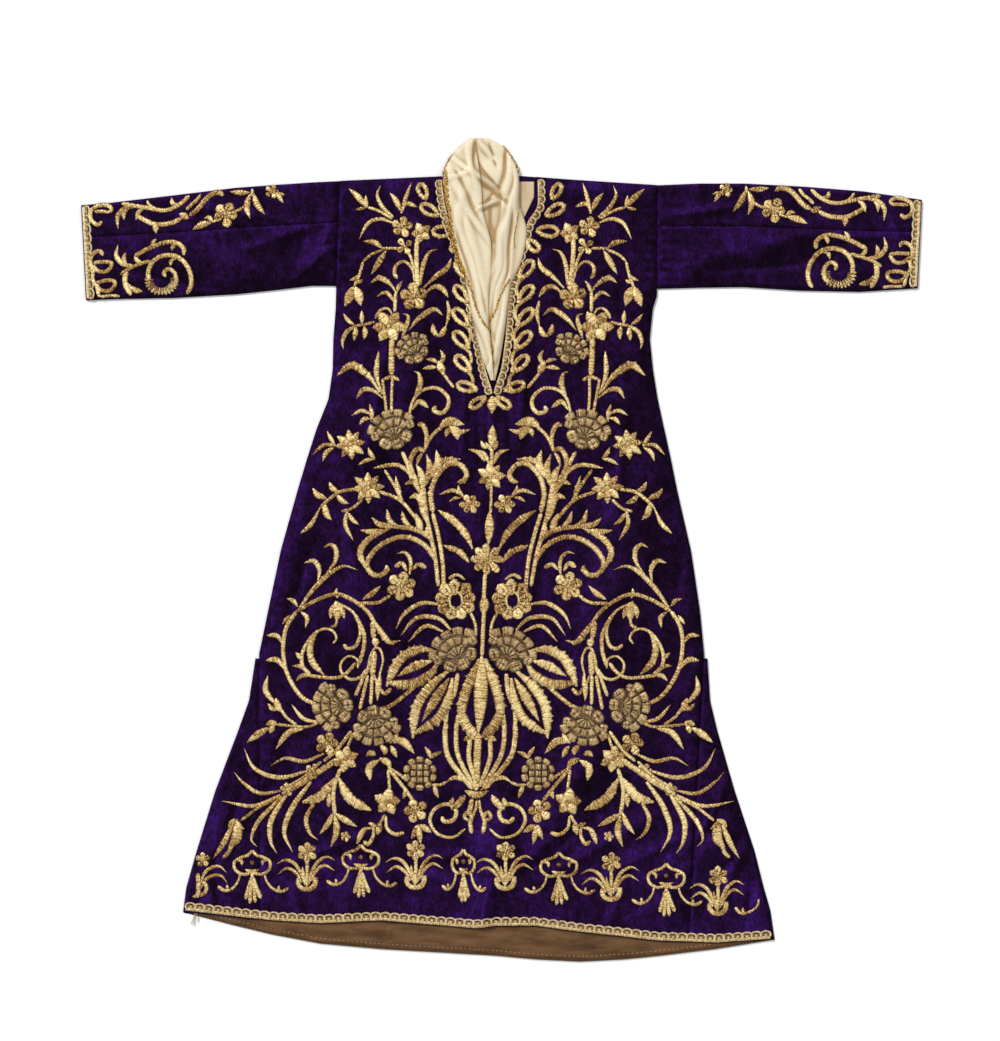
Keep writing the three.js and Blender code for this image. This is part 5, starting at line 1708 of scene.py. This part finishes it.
def build_braid(name, route, pitch, depth, width, height=1.8):
    """A braid: dark ground, a raised cord along its edge, and small arches with a knot in each inside it."""
    stitched = Stitched(SEED + 7)
    points, aside, length = smooth_route(route, max(8, round(len(route) * 8)))
    layers = ((0.8, 0.4, 0.5 * height, -1.3), (width / depth, width / depth / 2, height, 0.4))
    for part, across, tall, tone in layers:
        spots = [tuple(p + a * depth * across) for p, a in zip(points, aside)]
        stitched.strip("loop", depth * part, spots, tall, tone=tone)
    count = round(length / pitch)
    points, aside, _ = smooth_route(route, count * 2 + 1)
    for k in range(count):
        start, middle, end = (points[2 * k + j] + aside[2 * k + j] * (width - 1) for j in range(3))
        out = aside[2 * k + 1] * (depth - width)
        arch = [start, start + out * 0.75, middle + out * 1.1, end + out * 0.75, end]
        stitched.strip("loop", min(3.4, 0.24 * pitch), [tuple(p) for p in arch], 1.9, tone=0.7)
        knot = middle + out * 0.22
        size = min(0.36 * pitch, 0.7 * (depth - width))
        stitched.mound(knot[0], knot[1], 0, size, size, height=2.0, power=2, tone=0.4)
    return stitched.done(name, "braid")


def smoothed(table, y, column):
    """A table's column with its corners rounded off."""
    return sum(look(table, "y", y + shift, column) for shift in (-9, -4.5, 0, 4.5, 9)) / 5


def silk_height(y):
    """Height of the silk's underside: over the rims of the opening, and lower past the shoulders."""
    past = np.clip((y - SILK_DROP.shoulder) / SILK_DROP.run, 0, 1)
    past = past * past * (3 - 2 * past)
    return SILK_DROP.rim_z + (SILK_DROP.floor_z - SILK_DROP.rim_z) * past


def silk_folds(x, y):
    """Height of the folds of the silk, whose lines wander a little."""
    wander = 2.6 * np.sin(y / 21 + 1) + 1.3 * np.sin((x + y) / 13)
    return folded(NECK_FOLDS, x + wander, y + 2.4 * np.sin(x / 14))


def flap_edges(flap, y):
    """Left and right edge of a length of silk."""
    return smoothed(flap.rows, y, "left"), smoothed(flap.rows, y, "right")


def flap_top(flap, x, y):
    """Height of a length of silk, rolled down at its edges."""
    left, right = flap_edges(flap, y)
    edge = np.clip(np.minimum(x - left, right - x) / SILK_ROLL["reach"], 0, 1)
    roll = SILK_ROLL["height"] * (1 - (1 - edge) ** 2) * np.clip((right - left) / 20, 0.3, 1)
    return np.maximum(silk_height(y) + flap.lift + roll + silk_folds(x, y) * 1.3 * flap.relief, flap.least)


def silk_top(x, y):
    """Height of whichever length of silk lies uppermost at a place."""
    height = silk_height(y)
    for flap in SILK_FLAPS:
        left, right = flap_edges(flap, y)
        within = (x > left - 1) & (x < right + 1) & (y >= flap.rows[0].y)
        height = np.where(within, np.maximum(height, flap_top(flap, np.clip(x, left, right), y)), height)
    return height


def silk_shade(flap, x, y):
    """Painted shade on a length of silk: brown in the hollows of its folds, along its edges and under the
    next length.
    """
    shade = flap.shade
    for step, weight in ((3.5, 0.5), (7, 0.6)):
        around = sum(silk_folds(x + a, y + b) for a, b in ((step, 0), (-step, 0), (0, step), (0, -step)))
        shade = shade + weight * np.clip((around - 4 * silk_folds(x, y)) * flap.relief / 4, 0, 1)
    left, right = flap_edges(flap, y)
    shade = shade + 0.35 * np.exp(-((np.clip(np.minimum(x - left, right - x), 0, 30) / 2) ** 2))
    for above in SILK_FLAPS[SILK_FLAPS.index(flap) + 1 :]:
        for line in flap_edges(above, y):
            shade = shade + 0.45 * np.exp(-((np.abs(x - line) / 6) ** 1.5))
    return np.clip(shade, 0, 1)


def build_flap(flap):
    """One length of the silk, with rolled edges and its own folds."""

    def place(u, v):
        y = flap.rows[0].y + (flap.rows[-1].y - flap.rows[0].y) * v
        left, right = flap_edges(flap, y)
        x = left + (right - left) * u
        return np.stack([x, y, flap_top(flap, x, y)], 1)

    mesh = grid_sheet(46, 170, place)
    # Painted shade per point, which the silk's material turns brown.
    layer = mesh.verts.layers.float.new("painted_shade")
    spots = np.array([vert.co[:] for vert in mesh.verts])
    for vert, shade in zip(mesh.verts, silk_shade(flap, spots[:, 0], spots[:, 1])):
        vert[layer] = shade
    silk = object_of(mesh, "silk_" + flap.name, material("silk"))
    add_wall(silk, SILK_WALL)
    return silk


def build_neck_lace():
    """Gold lace along the silk's left edge, thinner gold and brown edging on its other edges."""
    lace = Stitched(SEED + 8)
    for width, route in SILK_EDGINGS:
        fine = max(2, round(sum(math.dist(a, b) for a, b in zip(route, route[1:])) / 1.5))
        points, _, _ = smooth_route(route, fine)
        for px, py in points:
            for _ in range(5 if width > 6 else 2):
                size = lace.chance.uniform(2.6, 4.2) * (1 if width > 3 else 0.8)
                qx = px + lace.chance.uniform(-0.45, 0.45) * (width - 1)
                base = float(silk_top(qx, py)) - TOP_Z + 0.2
                turn, tone = lace.chance.uniform(0, 180), lace.chance.uniform(-0.9, 1.4)
                lace.mound(qx, py, turn, size, size * 0.7, height=1.4, power=2, base=base, tone=tone, cells=5)
    return lace.done("lace_neck", "lace", flat=True)


def build_lining():
    """Brown lining inside the longer back hem, with its turned edge."""

    def place(u, v):
        x = HEM_LINING.left + HEM_LINING.width * u
        low = look(HEM, "x", x, "back") + LINING_MARGIN
        y = low + (HEM_LINING.head - low) * v
        x = x + (12 - 20 * u) * v
        wrinkle = np.sin(y / 3.1 + 2.4 * np.sin(x / 37)) + np.sin(x / 11 + 3 * np.sin(x / 29 + y / 17))
        edge = np.clip((y - low) / 9, 0, 1)
        bare = np.clip((look(HEM, "x", x, "front") - 3 - y) / 8, 0, 1) * np.clip((y - low - 10) / 6, 0, 1)
        creased = 0.3 * wrinkle + np.clip(folded(LINING_FOLDS, x, y), -1.2, 2.4) * bare
        return np.stack([x, y, LINING_Z - 0.5 + creased * edge - 0.3 * (1 - edge)], 1)

    lining = object_of(grid_sheet(420, 24, place), "lining_hem", material("lining"))
    add_wall(lining, LINING_WALL)
    return lining


def build_hem_stitches():
    """Pale running stitches of the back hem, dark picots along its edge and loose threads at its left end."""
    stitches = Stitched(SEED + 9)
    lift = LINING_Z - TOP_Z + 0.6
    for x in np.arange(-480, 425, STITCH_PITCH):
        low = float(look(HEM, "x", x, "back"))
        tilt = stitches.chance.uniform(-6, 6)
        stitches.mound(x, low + 9, tilt, 3.6, 0.8, height=0.7, power=2, base=lift, tone=0.9, cells=4)
    for x in np.arange(-500, 440, PICOT_PITCH):
        low = float(look(HEM, "x", x, "back"))
        stitches.mound(x, low + 1.4, 0, 3.4, 3.6, height=1.4, power=2, base=lift - 0.6, tone=-1.6, cells=4)
    for route in LOOSE_THREADS:
        stitches.strip("stem", 1.3, route, 0.9, base=lift - 1, tone=0.2)
    return stitches.done("stitches_hem", "braid", flat=True)


def build_facing():
    """Beige cotton facing of the back neck, seen past the silk."""

    def place(u, v):
        x = NECK_FACING.left + NECK_FACING.width * u
        y = NECK_FACING.foot + (NECK_FACING.head - NECK_FACING.foot) * v
        narrow = np.clip((585 - y) / 33, 0, 1)
        x = x + (14 - 30 * u) * narrow
        return np.stack([x, y, FACING_Z - 0.5 + 0.25 * np.sin(x / 7 + y / 11)], 1)

    facing = object_of(grid_sheet(60, 24, place), "facing_neck", material("facing"))
    add_wall(facing, LINING_WALL)
    return facing


class DressSettings(bpy.types.PropertyGroup):
    """Sizes of the dress's meshes."""

    cell: bpy.props.FloatProperty(
        name="Cell", description="Cell of the velvet grids", default=0.0048, unit="LENGTH", subtype="DISTANCE"
    )


class DRESS_OT_velvet(bpy.types.Operator):
    """Front, back, gores and sleeves of violet velvet"""

    bl_idname = "dress.velvet"
    bl_label = "Velvet"

    def execute(self, context):
        cell = context.scene.dress.cell / MM
        back = build_back(cell * 2)
        declare(back, ["back_panel"], flat=(0.74, 1.3))
        front = build_front(cell)
        declare(front, ["front_panel"], flat=(0.74, 1.27), rests_on=["back_panel"])
        for side in ("left", "right"):
            gore = build_gore(side, cell)
            declare(gore, ["gore_" + side], flat=(0.29, 0.46))
        for sleeve in SLEEVES:
            for part, height in (("upper", 0.145), ("lower", 0.22)):
                made = build_sleeve(sleeve, part, cell)
                declare(made, [f"sleeve_{sleeve.side}_{part}"], flat=(height, 0.43))
        return {"FINISHED"}


class DRESS_OT_linings(bpy.types.Operator):
    """Brown hem lining and beige neck facing"""

    bl_idname = "dress.linings"
    bl_label = "Linings"

    def execute(self, context):
        under = ["velvet_back"]
        declare(build_lining(), ["hem_lining"], flat=(0.95, 0.11), rests_on=under)
        declare(build_hem_stitches(), [])
        declare(build_facing(), ["back_neck_facing"], flat=(0.15, 0.06), rests_on=under)
        return {"FINISHED"}


class DRESS_OT_embroidery(bpy.types.Operator):
    """Raised gold embroidery of the front and the sleeves"""

    bl_idname = "dress.embroidery"
    bl_label = "Embroidery"

    def execute(self, context):
        made = [build_middle(), build_border()]
        for sign in (1, -1):
            made += build_half_embroidery(sign)
            made.append(build_pods(sign))
        made += [build_sleeve_gold(sleeve) for sleeve in SLEEVES]
        for piece in made:
            declare(piece, [])
        return {"FINISHED"}


class DRESS_OT_braids(bpy.types.Operator):
    """Gold braids of hem, cuffs and neck"""

    bl_idname = "dress.braids"
    bl_label = "Braids"

    def execute(self, context):
        hem = [(x, float(look(HEM, "x", x, "front")) + 1) for x in np.linspace(-524, 446, 120)]
        made = [(build_braid("braid_hem", hem, pitch=15.5, depth=14, width=6), "hem_braid")]
        for sleeve in SLEEVES:
            low, high = sleeve.stations[-1].bottom + 3, sleeve.stations[-1].top - 3
            ys = np.linspace(low, high, 16)
            route = [(float(sleeve_x(sleeve, 1.0, y)) - sleeve.sign, y) for y in ys]
            if sleeve.sign < 0:
                route = route[::-1]
            braid = build_braid("braid_cuff_" + sleeve.side, route, pitch=15.5, depth=13, width=6)
            made.append((braid, "cuff_braid_" + sleeve.side))
        for side, sign in (("left", -1), ("right", 1)):
            ys = np.linspace(260, 613, 50)
            route = [(float(look(NECK_BRAID_EDGE, "y", y, side)), float(y)) for y in ys]
            if sign > 0:
                route = route[::-1]
            braid = build_braid("braid_neck_" + side, route, pitch=12.5, depth=12, width=3.5)
            made.append((braid, "neck_braid_" + side))
        for piece, node in made:
            declare(piece, [node])
        return {"FINISHED"}


class DRESS_OT_silk(bpy.types.Operator):
    """Cream silk in the neck"""

    bl_idname = "dress.silk"
    bl_label = "Neck silk"

    def execute(self, context):
        for flap in SILK_FLAPS:
            nodes = ["neck_cloth"] if flap.name == "left" else []
            declare(build_flap(flap), nodes, flap.flat, ["velvet_front"])
        declare(build_neck_lace(), ["neck_cloth_lace"])
        return {"FINISHED"}


Light = namedtuple("Light", "name place angle power")
LIGHTS = (
    Light("Key", (-0.75, 1.0, 1.25), 14, 2.3),
    Light("Fill", (1.0, -0.6, 1.6), 40, 0.5),
)
CAMERA = {"place": (-0.0025, 0.049, 4), "lens": 83.33, "sensor": 36}


class DRESS_OT_stage(bpy.types.Operator):
    """Pale floor, soft lights and the camera above"""

    bl_idname = "dress.stage"
    bl_label = "Stage"

    def execute(self, context):
        scene = context.scene
        mesh = bmesh.new()
        bmesh.ops.create_grid(mesh, x_segments=1, y_segments=1, size=6000)
        paper = Finish("Pale paper")
        sheet = paper.finish(Base_Color=rgb("#fdfdfd"), Roughness=0.95, Specular_IOR_Level=0.1)
        floor = object_of(mesh, "floor", sheet)
        world = bpy.data.worlds.new("Studio")
        scene.world = world
        world.use_nodes = True
        background = next(node for node in world.node_tree.nodes if node.type == "BACKGROUND")
        background.inputs["Color"].default_value = rgb("#f3f3f6")
        background.inputs["Strength"].default_value = 0.5
        for light in LIGHTS:
            lamp = bpy.data.lights.new(light.name, "SUN")
            lamp.angle = math.radians(light.angle)
            lamp.energy = light.power
            made = bpy.data.objects.new(light.name, lamp)
            made.location = light.place
            made.rotation_euler = (-Vector(light.place)).to_track_quat("-Z", "Y").to_euler()
            scene.collection.objects.link(made)
        lens = bpy.data.cameras.new("Above")
        lens.lens = CAMERA["lens"]
        lens.sensor_width = CAMERA["sensor"]
        camera = bpy.data.objects.new("Above", lens)
        camera.location = CAMERA["place"]
        scene.collection.objects.link(camera)
        scene.camera = camera
        scene.view_settings.view_transform = "Standard"
        return {"FINISHED"}


class DRESS_PT_build(bpy.types.Panel):
    """Builds the dress piece by piece"""

    bl_idname = "DRESS_PT_build"
    bl_label = "Dress"
    bl_space_type = "VIEW_3D"
    bl_region_type = "UI"
    bl_category = "Dress"

    def draw(self, context):
        self.layout.prop(context.scene.dress, "cell")
        for operator in OPERATORS:
            self.layout.operator(operator.bl_idname)


OPERATORS = (
    DRESS_OT_velvet,
    DRESS_OT_linings,
    DRESS_OT_embroidery,
    DRESS_OT_braids,
    DRESS_OT_silk,
    DRESS_OT_stage,
)
CLASSES = (DressSettings, *OPERATORS, DRESS_PT_build)


def register():
    """Registers the add-on's classes and settings."""
    for each in CLASSES:
        bpy.utils.register_class(each)
    bpy.types.Scene.dress = bpy.props.PointerProperty(type=DressSettings)


def unregister():
    """Removes what register() added."""
    del bpy.types.Scene.dress
    for each in reversed(CLASSES):
        bpy.utils.unregister_class(each)


def main():
    """Builds every piece in order."""
    register()
    bpy.ops.dress.velvet()
    bpy.ops.dress.linings()
    bpy.ops.dress.embroidery()
    bpy.ops.dress.braids()
    bpy.ops.dress.silk()
    bpy.ops.dress.stage()


if __name__ == "__main__":
    main()
